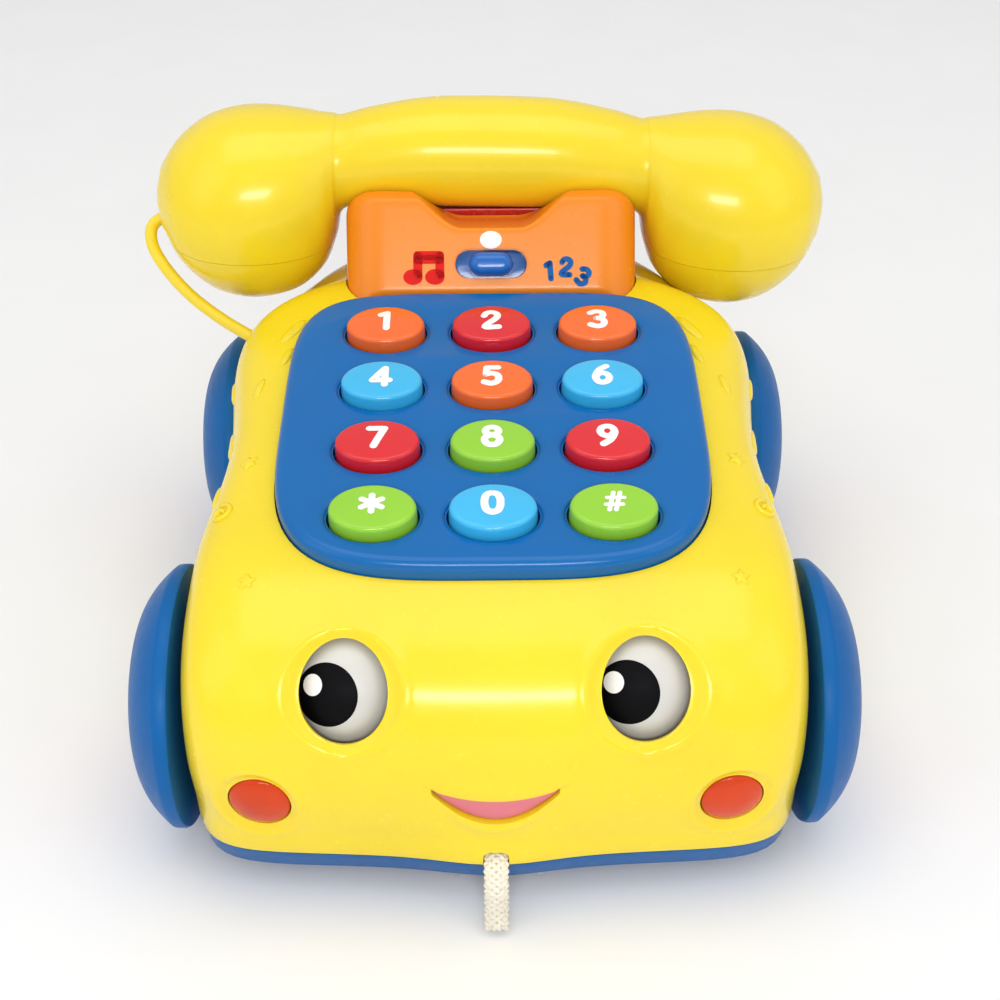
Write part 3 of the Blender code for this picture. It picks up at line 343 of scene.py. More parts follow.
def prism(name, outline, low, high, roll=0.0, steps=5):
    """A flat shape with this outline in X and Y, its upper edge rounded by roll."""
    bm = bmesh.new()
    floor = bm.faces.new([bm.verts.new((x, y, low)) for x, y in outline])
    grown = bmesh.ops.extrude_face_region(bm, geom=[floor])["geom"]
    top = [element for element in grown if isinstance(element, bmesh.types.BMVert)]
    bmesh.ops.translate(bm, vec=(0.0, 0.0, high - low), verts=top)
    bmesh.ops.recalc_face_normals(bm, faces=bm.faces)
    if roll:
        rim = [e for e in bm.edges if all(v.co.z > high - 1e-7 for v in e.verts)]
        bmesh.ops.bevel(bm, geom=rim, offset=roll, segments=steps, affect="EDGES", profile=0.5)
    return soften(new_object(name, bm))


def remoulded(obj, voxel, rounds):
    """Rounds every edge of a solid, as a mould does: a fine even mesh, then smoothing."""
    step = obj.modifiers.new("even mesh", "REMESH")
    step.mode = "VOXEL"
    step.voxel_size = voxel
    smooth = obj.modifiers.new("round edges", "SMOOTH")
    smooth.factor = 0.5
    smooth.iterations = rounds
    apply_modifiers(obj)
    obj.data.shade_smooth()
    return obj


def spline(stations, steps, closed=False):
    """A smooth curve through rows of numbers; steps is a number or one number for each span."""
    rows = [np.array(row, dtype=float) for row in stations]
    count = len(rows)
    spans = count if closed else count - 1

    def row(index):
        return rows[index % count] if closed else rows[min(max(index, 0), count - 1)]

    points = []
    for span in range(spans):
        before, start, end, after = (row(span + shift) for shift in (-1, 0, 1, 2))
        parts = steps[span] if isinstance(steps, list) else steps
        for part in range(parts):
            t = part / parts
            bend = 2 * before - 5 * start + 4 * end - after
            twist = 3 * start - before - 3 * end + after
            points.append(0.5 * (2 * start + (end - before) * t + bend * t**2 + twist * t**3))
    if not closed:
        points.append(rows[-1])
    return np.array(points)


def superellipse(half, squareness, count=160):
    """An oval outline with flattened sides; squareness is for its front and its rear half."""
    points = []
    for index in range(count):
        angle = 2 * math.pi * index / count
        across, along = math.cos(angle), math.sin(angle)
        power = squareness[1] if along > 0 else squareness[0]
        reach = (abs(across) ** power + abs(along) ** power) ** (-1 / power)
        points.append((half[0] * reach * across, half[1] * reach * along))
    return points


def ellipse(radii, count=72):
    angles = [2 * math.pi * index / count for index in range(count)]
    return [(radii[0] * math.cos(angle), radii[1] * math.sin(angle)) for angle in angles]


def pill(half_width, half_height, steps=16):
    """A slot with round ends."""
    points = []
    for end in (1, -1):
        for step in range(steps + 1):
            angle = math.pi * (step / steps - 0.5)
            x = half_width - half_height + half_height * math.cos(angle)
            points.append((end * x, end * half_height * math.sin(angle)))
    return points


def rounded(low, high, radius, steps=8):
    """A rectangle with round corners between two (x, y) points."""
    points = []
    corners = [(high[0], high[1], 0), (low[0], high[1], 90), (low[0], low[1], 180), (high[0], low[1], 270)]
    for x, y, start in corners:
        inner_x = x - radius if x == high[0] else x + radius
        inner_y = y - radius if y == high[1] else y + radius
        for step in range(steps + 1):
            angle = math.radians(start + 90 * step / steps)
            points.append((inner_x + radius * math.cos(angle), inner_y + radius * math.sin(angle)))
    return points


# Materials


def set_values(node, values):
    for name, value in values.items():
        node.inputs[name].default_value = value


def principled(material):
    return material.node_tree.nodes["Principled BSDF"]


def noise(material, scale, detail):
    """Noise in the piece's own coordinates."""
    nodes, links = material.node_tree.nodes, material.node_tree.links
    texture = nodes.new("ShaderNodeTexNoise")
    set_values(texture, {"Scale": scale, "Detail": detail})
    links.new(nodes.new("ShaderNodeTexCoord").outputs["Object"], texture.inputs["Vector"])
    return texture.outputs["Fac"]


def plastic(colour, roughness=0.22, shade=0.12, coat=0.2, grain=0.35, scatter=0.0, depth=0.04, shine=0.5):
    """Moulded plastic: slow drifts of colour and gloss, a faint orange-peel skin and fine handling marks."""
    made = bpy.data.materials.new("plastic")
    made.use_nodes = True
    nodes, links = made.node_tree.nodes, made.node_tree.links
    shader = principled(made)

    tint = nodes.new("ShaderNodeValToRGB")
    dark, bright = tint.color_ramp.elements
    dark.position, bright.position = 0.3, 0.7
    dark.color = (*[c * (1.0 - shade) for c in colour], 1.0)
    bright.color = (*[min(c * (1.0 + shade * 0.5), 1.0) for c in colour], 1.0)
    links.new(noise(made, scale=28.0, detail=3.0), tint.inputs["Fac"])
    links.new(tint.outputs["Color"], shader.inputs["Base Color"])

    gloss = nodes.new("ShaderNodeMapRange")
    set_values(gloss, {"To Min": roughness * 0.8, "To Max": roughness * 1.3})
    links.new(noise(made, scale=420.0, detail=4.0), gloss.inputs["Value"])
    links.new(gloss.outputs["Result"], shader.inputs["Roughness"])

    skin = nodes.new("ShaderNodeBump")
    set_values(skin, {"Strength": grain * 0.1, "Distance": depth * MM})
    links.new(noise(made, scale=900.0, detail=2.0), skin.inputs["Height"])
    links.new(skin.outputs["Normal"], shader.inputs["Normal"])

    set_values(shader, {"Specular IOR Level": shine, "Coat Weight": coat, "Coat Roughness": 0.08})
    if scatter:
        set_values(shader, {"Subsurface Weight": scatter, "Subsurface Scale": 2.0 * MM})
        set_values(shader, {"Subsurface Radius": (1.0, 0.6, 0.25)})
    return made


def clear_plastic(colour):
    """Tinted see-through plastic with a slightly uneven tint."""
    made = plastic(colour, roughness=0.08, shade=0.25, coat=0.5)
    set_values(principled(made), {"Transmission Weight": 0.55, "IOR": 1.49})
    return made


def metal(colour):
    made = plastic(colour, roughness=0.3, shade=0.2, coat=0.0, grain=1.0)
    set_values(principled(made), {"Metallic": 1.0})
    return made


def yarn(colour):
    """Matt spun yarn with fine fibres."""
    made = plastic(colour, roughness=0.75, shade=0.3, coat=0.0, grain=6.0, depth=0.25)
    set_values(principled(made), {"Sheen Weight": 0.4})
    return made


def printed(colour):
    """Flat ink."""
    return plastic(colour, roughness=0.5, shade=0.05, coat=0.0, shine=0.1)


KEY_PLASTIC = {"roughness": 0.18, "shade": 0.06, "scatter": 0.08}
MATERIALS = {
    "shell_yellow": plastic((0.87, 0.66, 0.015), roughness=0.24, shade=0.05, scatter=0.12, shine=0.4),
    "base_blue": plastic((0.0, 0.10, 0.34), roughness=0.35, coat=0.0, shine=0.25),
    "panel_blue": plastic((0.0, 0.125, 0.4), roughness=0.2, shade=0.06, coat=0.1, shine=0.3),
    "wheel_blue": plastic((0.0, 0.105, 0.35), roughness=0.4, shade=0.08, coat=0.0, shine=0.2),
    "slider_blue": plastic((0.0, 0.13, 0.5), roughness=0.18),
    "cradle_orange": plastic(
        (0.87, 0.25, 0.012), roughness=0.24, shade=0.06, scatter=0.08, coat=0.1, shine=0.35
    ),
    "hub_orange": plastic((0.88, 0.19, 0.015), roughness=0.3, coat=0.0, shine=0.3),
    # The hook button's dark red is painted shade: it stands in for the shadow deep in the cradle's trough under
    # the handset
    "button_red": plastic((0.5, 0.015, 0.01), roughness=0.25),
    "key_orange": plastic((0.87, 0.14, 0.015), **KEY_PLASTIC),
    "key_red": plastic((0.68, 0.012, 0.02), **KEY_PLASTIC),
    "key_light_blue": plastic((0.04, 0.45, 0.78), **KEY_PLASTIC),
    "key_green": plastic((0.28, 0.6, 0.03), **KEY_PLASTIC),
    "eye_white": plastic((0.62, 0.61, 0.58), roughness=0.3, shade=0.03),
    "pupil_black": plastic((0.002, 0.002, 0.003), roughness=0.5, coat=0.0, shine=0.08),
    "print_white": plastic((0.9, 0.88, 0.85), roughness=0.4, shade=0.04, coat=0.0),
    "print_red": printed((0.75, 0.015, 0.012)),
    "print_blue": printed((0.01, 0.12, 0.38)),
    "smile_pink": plastic((0.68, 0.17, 0.22), roughness=0.4, coat=0.05),
    "lens": plastic((0.66, 0.055, 0.008), roughness=0.12, shade=0.3, coat=0.15, scatter=0.2, shine=0.2),
    "led": clear_plastic((0.7, 0.02, 0.01)),
    "membrane": plastic((0.6, 0.6, 0.58), roughness=0.7, coat=0.0),
    "board": plastic((0.02, 0.2, 0.07), roughness=0.45),
    "black_plastic": plastic((0.02, 0.02, 0.02), roughness=0.45),
    "steel": metal((0.62, 0.62, 0.62)),
    "battery_sleeve": metal((0.25, 0.25, 0.27)),
    "cord_yellow": plastic((0.9, 0.68, 0.02), roughness=0.35, scatter=0.1),
    "cord_cream": yarn((0.83, 0.78, 0.66)),
}
for name, material in MATERIALS.items():
    material.name = name


def dress(obj, material, body, nodes=()):
    """Gives a piece its material, the body it rides on and the CAD nodes it stands for."""
    obj.data.materials.clear()
    obj.data.materials.append(MATERIALS[material])
    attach(obj, body)
    if nodes:
        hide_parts(*nodes)
    return obj


# Body


def waist_depth(y):
    """How far the sides draw in at this place along the body."""
    return WAIST_DEPTH * np.exp(-(((y - WAIST_Y) / WAIST_LENGTH) ** 2))


def body_form(name, steps, angles, inset=0.0, relief=None):
    """The closed form of the body, as fine as its steps along and angles across; relief raises its skin."""
    rings = spline(BODY_OUTLINE, steps, closed=True)
    y, z, squareness = (rings[:, i][:, None] for i in range(3))
    across, along = np.sin(angles)[None, :], np.cos(angles)[None, :]
    reach = (np.abs(across) ** squareness + along**squareness) ** (-1 / squareness)
    side, keep_in = reach * across, reach * along
    point_y = BODY_CENTRE.y + keep_in * (y * MM - BODY_CENTRE.y)
    point_z = BODY_CENTRE.z + keep_in * (z * MM - BODY_CENTRE.z)
    forward = np.clip((-55 * MM - point_y) / (25 * MM), 0.0, 1.0)
    low = np.clip((CHIN_TOP_Z - point_z) / CHIN_FADE, 0.0, 1.0)
    chin = CHIN_RISE * low * np.exp(-((BODY_HALF_WIDTH * side / CHIN_WIDTH) ** 2))
    point_y = point_y - forward * (NOSE_CROWN * np.cos(side * math.pi / 2) ** 2 + chin)
    points = np.stack([(BODY_HALF_WIDTH - waist_depth(point_y)) * side, point_y, point_z], axis=-1)
    rows, columns = points.shape[:2]
    faces = grid_faces(rows, columns, close_rows=True)
    flat = [Vector(point) for point in points.reshape(-1, 3)]
    reach_out = BODY_HALF_WIDTH - waist_depth(BODY_CENTRE.y)
    poles = [BODY_CENTRE + Vector((s * reach_out, 0, 0)) for s in (-1, 1)]
    for row in range(rows):
        after = (row + 1) % rows
        faces.append((rows * columns, row * columns, after * columns))
        faces.append((rows * columns + 1, after * columns + columns - 1, row * columns + columns - 1))
    obj = mesh_piece(name, flat + poles, faces)
    if inset:
        push_skin(obj, lambda places, normals: np.full(len(places), -inset))
    if relief:
        push_skin(obj, relief)
    return obj


def even_angles(count):
    return np.radians(np.linspace(-90, 90, count + 2)[1:-1])


def fine_angles(count):
    """Angles across the body, closest together over the face and the shoulders."""
    half = np.interp(np.linspace(0, 1, count), [0.0, 0.14, 0.64, 0.86, 1.0], [0.0, 11.0, 43.0, 60.0, 89.0])
    return np.radians(np.concatenate([-half[:0:-1], half]))


def skin_tree():
    """The smooth body as something that rays can be cast at."""
    form = body_form("smooth_body", 12, fine_angles(70))
    corners = [vertex.co for vertex in form.data.vertices]
    tree = BVHTree.FromPolygons(corners, [face.vertices for face in form.data.polygons])
    bpy.data.objects.remove(form)
    return tree


SKIN = skin_tree()


def smooth(t):
    """Eases from 0 to 1 as t goes from 0 to 1."""
    t = np.clip(t, 0.0, 1.0)
    return t * t * (3 - 2 * t)


def near(places, normals, centre, direction):
    """Each place as two coordinates square to a direction, and whether its skin faces that way."""
    out = Vector(direction).normalized()
    side = Vector((0.0, 0.0, 1.0)).cross(out).normalized()
    up = out.cross(side)
    offset = places - np.array(centre)
    facing = (normals @ np.array(out)) > 0.2
    return offset @ np.array(side), offset @ np.array(up), facing


def star_outline(radius):
    """A five-pointed star with its points a little blunted."""
    tenth = math.pi / 5
    notch = (STAR_NOTCH * math.cos(tenth), STAR_NOTCH * math.sin(tenth))
    points = []
    for step in range(OUTLINE_STEPS):
        angle = 2 * math.pi * step / OUTLINE_STEPS
        fold = abs((angle + tenth) % (2 * tenth) - tenth)
        reach = notch[1] / (math.cos(fold) * notch[1] - math.sin(fold) * (notch[0] - 1))
        reach = radius * min(reach, STAR_BLUNT)
        points.append((reach * math.sin(angle), reach * math.cos(angle)))
    return points


def spiral(radius, turns=1.3, count=40):
    points = []
    for index in range(count):
        t = index / (count - 1)
        angle = 2 * math.pi * turns * t
        points.append((radius * (1 - 0.8 * t) * math.cos(angle), radius * (1 - 0.8 * t) * math.sin(angle)))
    return points


FLANK_DIRECTION = (0.8, 0.0, 0.6)
TOP_DIRECTION = (0.3, -0.25, 0.92)
TOP_HALF_WIDTH = 55.0  # what lies nearer to the middle than this is on the top, in millimetres
DECOR_RISE = 0.6 * MM
LEAF_WIDTH = 0.32
STAR_NOTCH = 0.5
STAR_BLUNT = 0.9
OUTLINE_STEPS = 60
SIGHT = 20 * MM
# Raised decoration on the right side, mirrored on the left: kind, place, size and turn in degrees
SHOULDER_RELIEF = [
    ("star", (50.3, -57.5, 67.1), 2.5, -8),
    ("swirl", (58.5, -36.0, 68.5), 2.6, 0),
    ("star", (53.8, -21.7, 72.0), 2.8, 12),
    ("leaf", (61.5, -26.0, 66.0), 4.2, 90),
    ("leaf", (60.5, -6.0, 66.0), 6.0, 100),
    ("leaf", (54.5, 4.0, 76.0), 3.4, -20),
    ("leaf", (48.7, 13.1, 78.9), 3.6, -22),
    ("leaf", (48.0, 22.7, 80.6), 5.0, -37),
    ("leaf", (62.6, 15.0, 67.5), 4.2, 90),
    ("star", (63.4, 30.0, 66.0), 3.0, 0),
]


def raised_shape(kind, on_skin, size):
    """A star or leaf whose rounded top stands out of the skin and whose edge dips under it."""
    outline = star_outline(size) if kind == "star" else ellipse((LEAF_WIDTH * size, size), OUTLINE_STEPS)
    rows = [[on_skin(0.0, 0.0, DECOR_RISE)] * OUTLINE_STEPS]
    for share, rise in ((0.4, 0.95), (0.7, 0.75), (0.88, 0.4), (1.0, -0.3)):
        rows.append([on_skin(x * share, y * share, DECOR_RISE * rise) for x, y in outline])
    points = [point for row in rows for point in row]
    return mesh_piece(kind, points, grid_faces(len(rows), OUTLINE_STEPS, close_columns=True))


def decoration():
    """Small stars, swirls and leaves that stand a little out of the shell's shoulders."""
    pieces = []
    for side in (-1, 1):
        for kind, place_at, size, turn in SHOULDER_RELIEF:
            centre = Vector((side * place_at[0], place_at[1], place_at[2])) * MM
            on_top = place_at[0] < TOP_HALF_WIDTH
            direction = TOP_DIRECTION if on_top else FLANK_DIRECTION
            out = Vector((side * direction[0], *direction[1:])).normalized()
            ahead = Vector((0.0, 1.0, 0.0)) if on_top else Vector((0.0, 0.0, 1.0))
            across = ahead.cross(out).normalized()
            up = out.cross(across)
            spin = math.radians(turn)

            def on_skin(x, y, rise):
                u = side * (x * math.cos(spin) + y * math.sin(spin))
                v = y * math.cos(spin) - x * math.sin(spin)
                hit, normal = SKIN.ray_cast(centre + across * u + up * v + out * SIGHT, -out)[:2]
                return hit + normal * rise

            if kind == "swirl":
                line = [on_skin(x, y, 0.1 * MM) for x, y in spiral(size * MM)]
                pieces.append(tube("swirl", line, 0.6 * MM))
            else:
                pieces.append(raised_shape(kind, on_skin, size * MM))
    relief = together("shoulder_relief", pieces)
    relief.data.shade_smooth()
    dress(relief, "shell_yellow", "toy")


def face_relief(places, normals):
    """Sockets round the eyes and headlights and the lips of the mouth."""
    rise = np.zeros(len(places))
    for side_name, side in SIDES.items():
        out = Vector((0.0, -math.cos(EYE_LEAN), math.sin(EYE_LEAN)))
        u, v, facing = near(places, normals, EYE_CENTRES[side_name], out)
        v = v - EYE_OPENING_RISE
        off = np.hypot(u, v)
        opening = np.hypot(u / EYE_OPENING[0], v / EYE_OPENING[1])
        span = np.maximum(SOCKET_RADIUS - off, 0.0)
        room = np.maximum(SOCKET_RADIUS - off / np.maximum(opening, 1e-6), 0.6 * MM)
        slope = smooth(span / room)
        lip = np.exp(-(((off - SOCKET_RADIUS - 0.3 * MM) / (1.1 * MM)) ** 2))
        rise += np.where(facing & (off < SOCKET_RADIUS + 6 * MM), 0.4 * MM * lip - 1.3 * MM * slope, 0.0)
        lamp = lamp_place(side_name)
        u, v, facing = near(places, normals, lamp, (side * 0.25, -1.0, 0.0))
        off = np.hypot(u / LAMP_RADII[0], v / LAMP_RADII[1])
        dish = smooth((1.36 - off) / 0.36)
        lip = np.exp(-(((off - 1.4) / 0.14) ** 2))
        rise += np.where(facing & (off < 2.0), 0.25 * MM * lip - 0.9 * MM * dish, 0.0)
    x = places[:, 0]
    height = places[:, 2] - SMILE_CORNER_Z
    front = (normals[:, 1] < -0.5) & (np.abs(x) < 24 * MM)
    share = 1 - (x / SMILE_HALF_WIDTH) ** 2
    lower = height + SMILE_DIPS[1] * share
    upper = height + SMILE_DIPS[0] * share
    inside = SMILE_HALF_WIDTH - np.abs(x)
    under = np.exp(-(((lower + 1.6 * MM) / (1.6 * MM)) ** 2)) * smooth(inside / (6 * MM))
    over = np.exp(-(((upper - 2.2 * MM) / (2.4 * MM)) ** 2)) * smooth(inside / (8 * MM))
    crease = np.exp(-((upper / (0.5 * MM)) ** 2)) * smooth((np.abs(x) - 11.5 * MM) / (1.5 * MM))
    crease = crease * smooth((15.5 * MM - np.abs(x)) / (1.5 * MM))
    rise += np.where(front, 0.7 * MM * under + 0.35 * MM * over - 0.5 * MM * crease, 0.0)
    return rise


def lamp_place(side_name):
    """The middle of a headlight, which the look sets a little further out than the CAD lens."""
    shift = Vector((SIDES[side_name] * LAMP_SHIFT.x, 0.0, LAMP_SHIFT.z))
    return middle(f"headlight_lens_{side_name}") + shift


def toward_side(obj, side, axle):
    turn = Matrix.Rotation(side * math.pi / 2, 4, "Y")
    return place(obj, Matrix.Translation((0.0, axle.y, axle.z)) @ turn)


def keypad_frame():
    return Matrix.Translation(KEYPAD_CENTRE) @ Matrix.Rotation(KEYPAD_TILT, 4, "X")


def eye_frame(side_name):
    """Local Z looks out of the face, local Y is up along it."""
    lean = Matrix.Rotation(math.pi / 2 - EYE_LEAN, 4, "X")
    return Matrix.Translation(EYE_CENTRES[side_name]) @ lean


def crescent(grow, steps=40):
    """The mouth, seen from the front."""
    across = [SMILE_HALF_WIDTH * (2 * i / steps - 1) for i in range(steps + 1)]
    wider = 1 + grow / SMILE_HALF_WIDTH

    def curve(x, dip):
        return -dip * (1 - (x / SMILE_HALF_WIDTH) ** 2)

    lower = [(x * wider, curve(x, SMILE_DIPS[1] - SMILE_TIP) - SMILE_TIP - grow) for x in across]
    upper = [(x * wider, curve(x, SMILE_DIPS[0]) + grow) for x in reversed(across)]
    return lower + upper


def smile_prism(name, grow, front_y, back_y):
    stand = Matrix.Translation((0.0, 0.0, SMILE_CORNER_Z)) @ Matrix.Rotation(math.pi / 2, 4, "X")
    return place(prism(name, crescent(grow), -back_y, -front_y), stand)


def cradle_column(grow, length=60 * MM):
    """A column along the cradle's sloping face, with the cradle's round front corners."""
    half = CRADLE_HALF_WIDTH + grow
    outline = rounded((-half, -grow), (half, 80 * MM), CORNER_RADIUS + grow)
    lean = Matrix.Rotation(CRADLE_SLOPE - math.pi / 2, 4, "X")
    return place(prism("column", outline, -length, length), Matrix.Translation(CRADLE_FOOT) @ lean)


def cradle_side(grow=0.0):
    """The cradle seen from the side, as (y, z) points."""
    foot = CRADLE_FOOT
    top_y = foot.y + CRADLE_RISE / math.tan(CRADLE_SLOPE)
    top_z = foot.z + CRADLE_RISE
    return [
        (foot.y - grow, 77 * MM - grow),
        (foot.y - grow, foot.z),
        (top_y - 3.5 * MM - grow, top_z - 6 * MM),
        (top_y - 1.5 * MM, top_z - 3.2 * MM),
        (top_y + 1.0 * MM, top_z - 3.2 * MM),
        (top_y + 20 * MM, 100 * MM),
        (78.5 * MM, 100 * MM),
        (78.5 * MM + grow, 62 * MM - grow),
    ]


def across_prism(name, outline, half_width):
    stand = Matrix(((0, 0, 1, 0), (1, 0, 0, 0), (0, 1, 0, 0), (0, 0, 0, 1)))
    return place(prism(name, outline, -half_width, half_width), stand)


def cradle_block(name, grow):
    block = across_prism(name, cradle_side(grow), CRADLE_HALF_WIDTH + grow)
    return combine(block, cradle_column(grow), "INTERSECT")


def body_openings():
    """Everything that is cut out of the shell, as separate shapes that don't touch each other."""
    shapes = []
    for axle in (FRONT_AXLE, REAR_AXLE):
        for side in (-1, 1):
            low, high = sorted(side * x for x in AXLE_SLOT_X)
            start = (low, axle.y - AXLE_SLOT_HALF, 0.0)
            shapes.append(box(start, (high, axle.y + AXLE_SLOT_HALF, axle.z + AXLE_SLOT_HALF)))
    outline = superellipse([half + GAP for half in PANEL_HALF], PANEL_SQUARENESS)
    shapes.append(place(prism("keypad_opening", outline, -20 * MM, 20 * MM), keypad_frame()))
    shapes.append(cradle_block("cradle_opening", GAP))
    for side_name, side in SIDES.items():
        opening = prism("eye_opening", ellipse(EYE_OPENING, 96), 8 * MM, 25 * MM)
        shapes.append(place(opening, eye_frame(side_name) @ Matrix.Translation((0, EYE_OPENING_RISE, 0))))
        lamp = lamp_place(side_name)
        stand = Matrix.Translation((lamp.x, lamp.y, lamp.z)) @ Matrix.Rotation(math.pi / 2, 4, "X")
        shapes.append(place(prism("lamp_opening", ellipse(LAMP_RADII), -10 * MM, 10 * MM), stand))
    shapes.append(smile_prism("smile_opening", 0.15 * MM, -95 * MM, -78 * MM))
    notch = rounded((-2.7 * MM, 5 * MM), (2.7 * MM, 17 * MM), 1.6 * MM)
    stand = Matrix.Rotation(math.pi / 2, 4, "X")
    shapes.append(place(prism("notch", notch, 72 * MM, 95 * MM), stand))
    return together("openings", shapes)


def body_shell():
    """The yellow shell: a fine skin with its sockets and lips, hollow inside, with every opening."""
    steps = [20, 20, 20, 20, 20, 22, 32, 32, 28, 16, 12, 10, 10, 12, 14, 10, 2, 2, 2, 4]
    shell = body_form("body_shell", steps, fine_angles(140), relief=face_relief)
    room = body_form("room", 3, even_angles(44), inset=WALL)
    cut(shell, room, body_openings())
    cut(shell, box((-0.1, -0.1, -0.05), (0.1, 0.1, SHELL_BOTTOM_Z)))
    return dress(soften(shell, 30), "shell_yellow", "toy", ["upper_shell"])


def base_rim():
    """The blue tray whose edge shows under the shell, with its door, screw and sound holes."""
    tray = body_form("base_rim", 8, even_angles(110))
    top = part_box("upper_shell")[0].z - GAP
    combine(tray, box((-0.1, -0.1, BASE_BOTTOM_Z), (0.1, 0.1, top)), "INTERSECT")
    hollow = body_form("hollow", 4, even_angles(44), inset=WALL)
    combine(hollow, box((-0.1, -0.1, BASE_BOTTOM_Z + WALL), (0.1, 0.1, 0.02)), "INTERSECT")
    cut(tray, hollow)
    low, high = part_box("battery_cover")
    door = box(low - Vector((GAP, GAP, 5 * MM)), high + Vector((GAP, GAP, 1 * MM)))
    holes = [door]
    for name in ("front_left", "front_right", "rear_left", "rear_right"):
        at = middle(f"screw_{name}")
        holes.append(place(drilled(1.55 * MM, -9 * MM, 5 * MM), Matrix.Translation(at)))
    speaker = middle("speaker")
    for ring, count in ((0.0, 1), (7.5 * MM, 6)):
        for index in range(count):
            angle = 2 * math.pi * index / count
            at = (speaker.x + ring * math.cos(angle), speaker.y + ring * math.sin(angle), 0.0)
            holes.append(place(drilled(1.5 * MM, 0.0, 20 * MM), Matrix.Translation(at)))
    cut(tray, together("holes", holes))
    return dress(soften(tray, 30), "base_blue", "toy", ["base_tray"])


# Keypad


def keypad_panel():
    """The raised blue panel with a rolled edge and a shallow dish round each key."""
    outline = superellipse(PANEL_HALF, PANEL_SQUARENESS, 200)
    panel = prism("keypad_panel_moulding", outline, -PANEL_DEPTH, 0.0, roll=2.4 * MM, steps=8)
    dishes = []
    holes = []
    profile = [(0.0, 3 * MM), (1.245, 3 * MM)]
    for step in range(9):
        angle = math.pi / 2 * step / 8
        profile.append((1.245 - 0.17 * math.sin(angle), 0.02 * MM - 0.75 * MM * (1 - math.cos(angle))))
    profile += [(1.055, -0.73 * MM), (0.0, -0.73 * MM)]
    for place_at in KEY_PLACES.values():
        at = keypad_frame().inverted() @ place_at
        move = Matrix.Translation((at.x, at.y, 0.0))
        dishes.append(place(turned("dish", profile, 64, KEY_HALF), move))
        radii = [half + 0.4 * MM for half in KEY_HALF]
        holes.append(place(prism("hole", ellipse(radii, 64), -12 * MM, -0.3 * MM), move))
    cut(panel, together("dishes", dishes), together("holes", holes))
    place(panel, keypad_frame())
    return dress(soften(panel, 30), "panel_blue", "toy", ["keypad_panel"])


def key_height(x, y):
    """Height of a key's crowned top over the panel at a point from its middle."""
    off = np.hypot(x / KEY_HALF[0], y / KEY_HALF[1])
    return KEY_RISE - KEY_CROWN * off**2


def key_profile():
    """Half of a key's section: its reach as a share of its half width, and the height there."""
    points = [(0.0, KEY_RISE)]
    for step in range(1, 9):
        off = KEY_SHOULDER * step / 8
        points.append((off, KEY_RISE - KEY_CROWN * off**2))
    edge = KEY_RISE - KEY_CROWN * KEY_SHOULDER**2
    for step in range(1, 8):
        angle = math.pi / 2 * step / 7
        points.append((KEY_SHOULDER + 0.125 * math.sin(angle), edge - 1.05 * MM * (1 - math.cos(angle))))
    return points + [(1.0, -0.9 * MM), (1.0, -6.2 * MM), (0.0, -6.2 * MM)]


EIGHT_TOP = [(2.0, 3.2), (0.9, 3.7), (0.6, 4.6), (1.1, 5.5)]
EIGHT_FOOT = [(2.0, 3.2), (0.7, 2.6), (0.4, 1.6), (1.0, 0.5)]


def mirrored(line):
    """The right half of a sign that is 4 wide, from the left half, drawn backwards."""
    return [(4.0 - x, y) for x, y in reversed(line)]


DIGITS = {  # strokes on a grid 4 wide and 6 high
    "1": [[(1.0, 5.1), (2.4, 5.8), (2.4, 0.2)]],
    "2": [[(0.4, 4.4), (0.9, 5.4), (2.0, 5.8), (3.1, 5.4), (3.5, 4.4), (2.9, 3.1), (0.5, 0.3), (3.7, 0.3)]],
    "3": [
        [(0.5, 5.2), (1.9, 5.8), (3.2, 5.3), (3.4, 4.3), (2.9, 3.4), (1.8, 3.1)],
        [(1.8, 3.1), (3.1, 2.8), (3.6, 1.7), (3.1, 0.6), (1.9, 0.2), (0.4, 0.8)],
    ],
    "4": [[(3.9, 1.6), (0.2, 1.6), (2.9, 5.8), (2.9, 0.2)]],
    "5": [
        [(3.4, 5.7), (1.0, 5.7), (0.8, 3.2)],
        [(0.8, 3.2), (2.0, 3.6), (3.2, 3.1), (3.6, 1.9), (3.1, 0.7), (1.8, 0.2), (0.4, 0.7)],
    ],
    "6": [
        [(3.0, 5.8), (1.5, 4.6), (0.6, 2.8), (0.5, 1.7), (1.0, 0.6), (2.0, 0.2), (3.1, 0.7), (3.6, 1.8)],
        [(3.6, 1.8), (3.1, 2.9), (2.0, 3.4), (1.0, 2.9), (0.5, 1.8)],
    ],
    "7": [[(0.4, 5.7), (3.6, 5.7), (1.5, 0.2)]],
    "8": [
        [*EIGHT_TOP, (2.0, 5.8), *mirrored(EIGHT_TOP)],
        [*EIGHT_FOOT, (2.0, 0.2), *mirrored(EIGHT_FOOT)],
    ],
    "0": [
        [(2.0, 5.8), (0.9, 5.3), (0.4, 3.9), (0.4, 2.1), (0.9, 0.7), (2.0, 0.2), (3.1, 0.7), (3.6, 2.1)],
        [(3.6, 2.1), (3.6, 3.9), (3.1, 5.3), (2.0, 5.8)],
    ],
    "hash": [
        [(0.9, 0.2), (2.1, 5.8)],
        [(2.4, 0.2), (3.6, 5.8)],
        [(0.2, 1.9), (4.0, 1.9)],
        [(0.6, 4.1), (4.4, 4.1)],
    ],
    "star": [[(2.0, 0.4), (2.0, 5.6)], [(-0.25, 1.7), (4.25, 4.3)], [(-0.25, 4.3), (4.25, 1.7)]],
}
DIGITS["9"] = [[(4.0 - x, 6.0 - y) for x, y in line] for line in DIGITS["6"]]


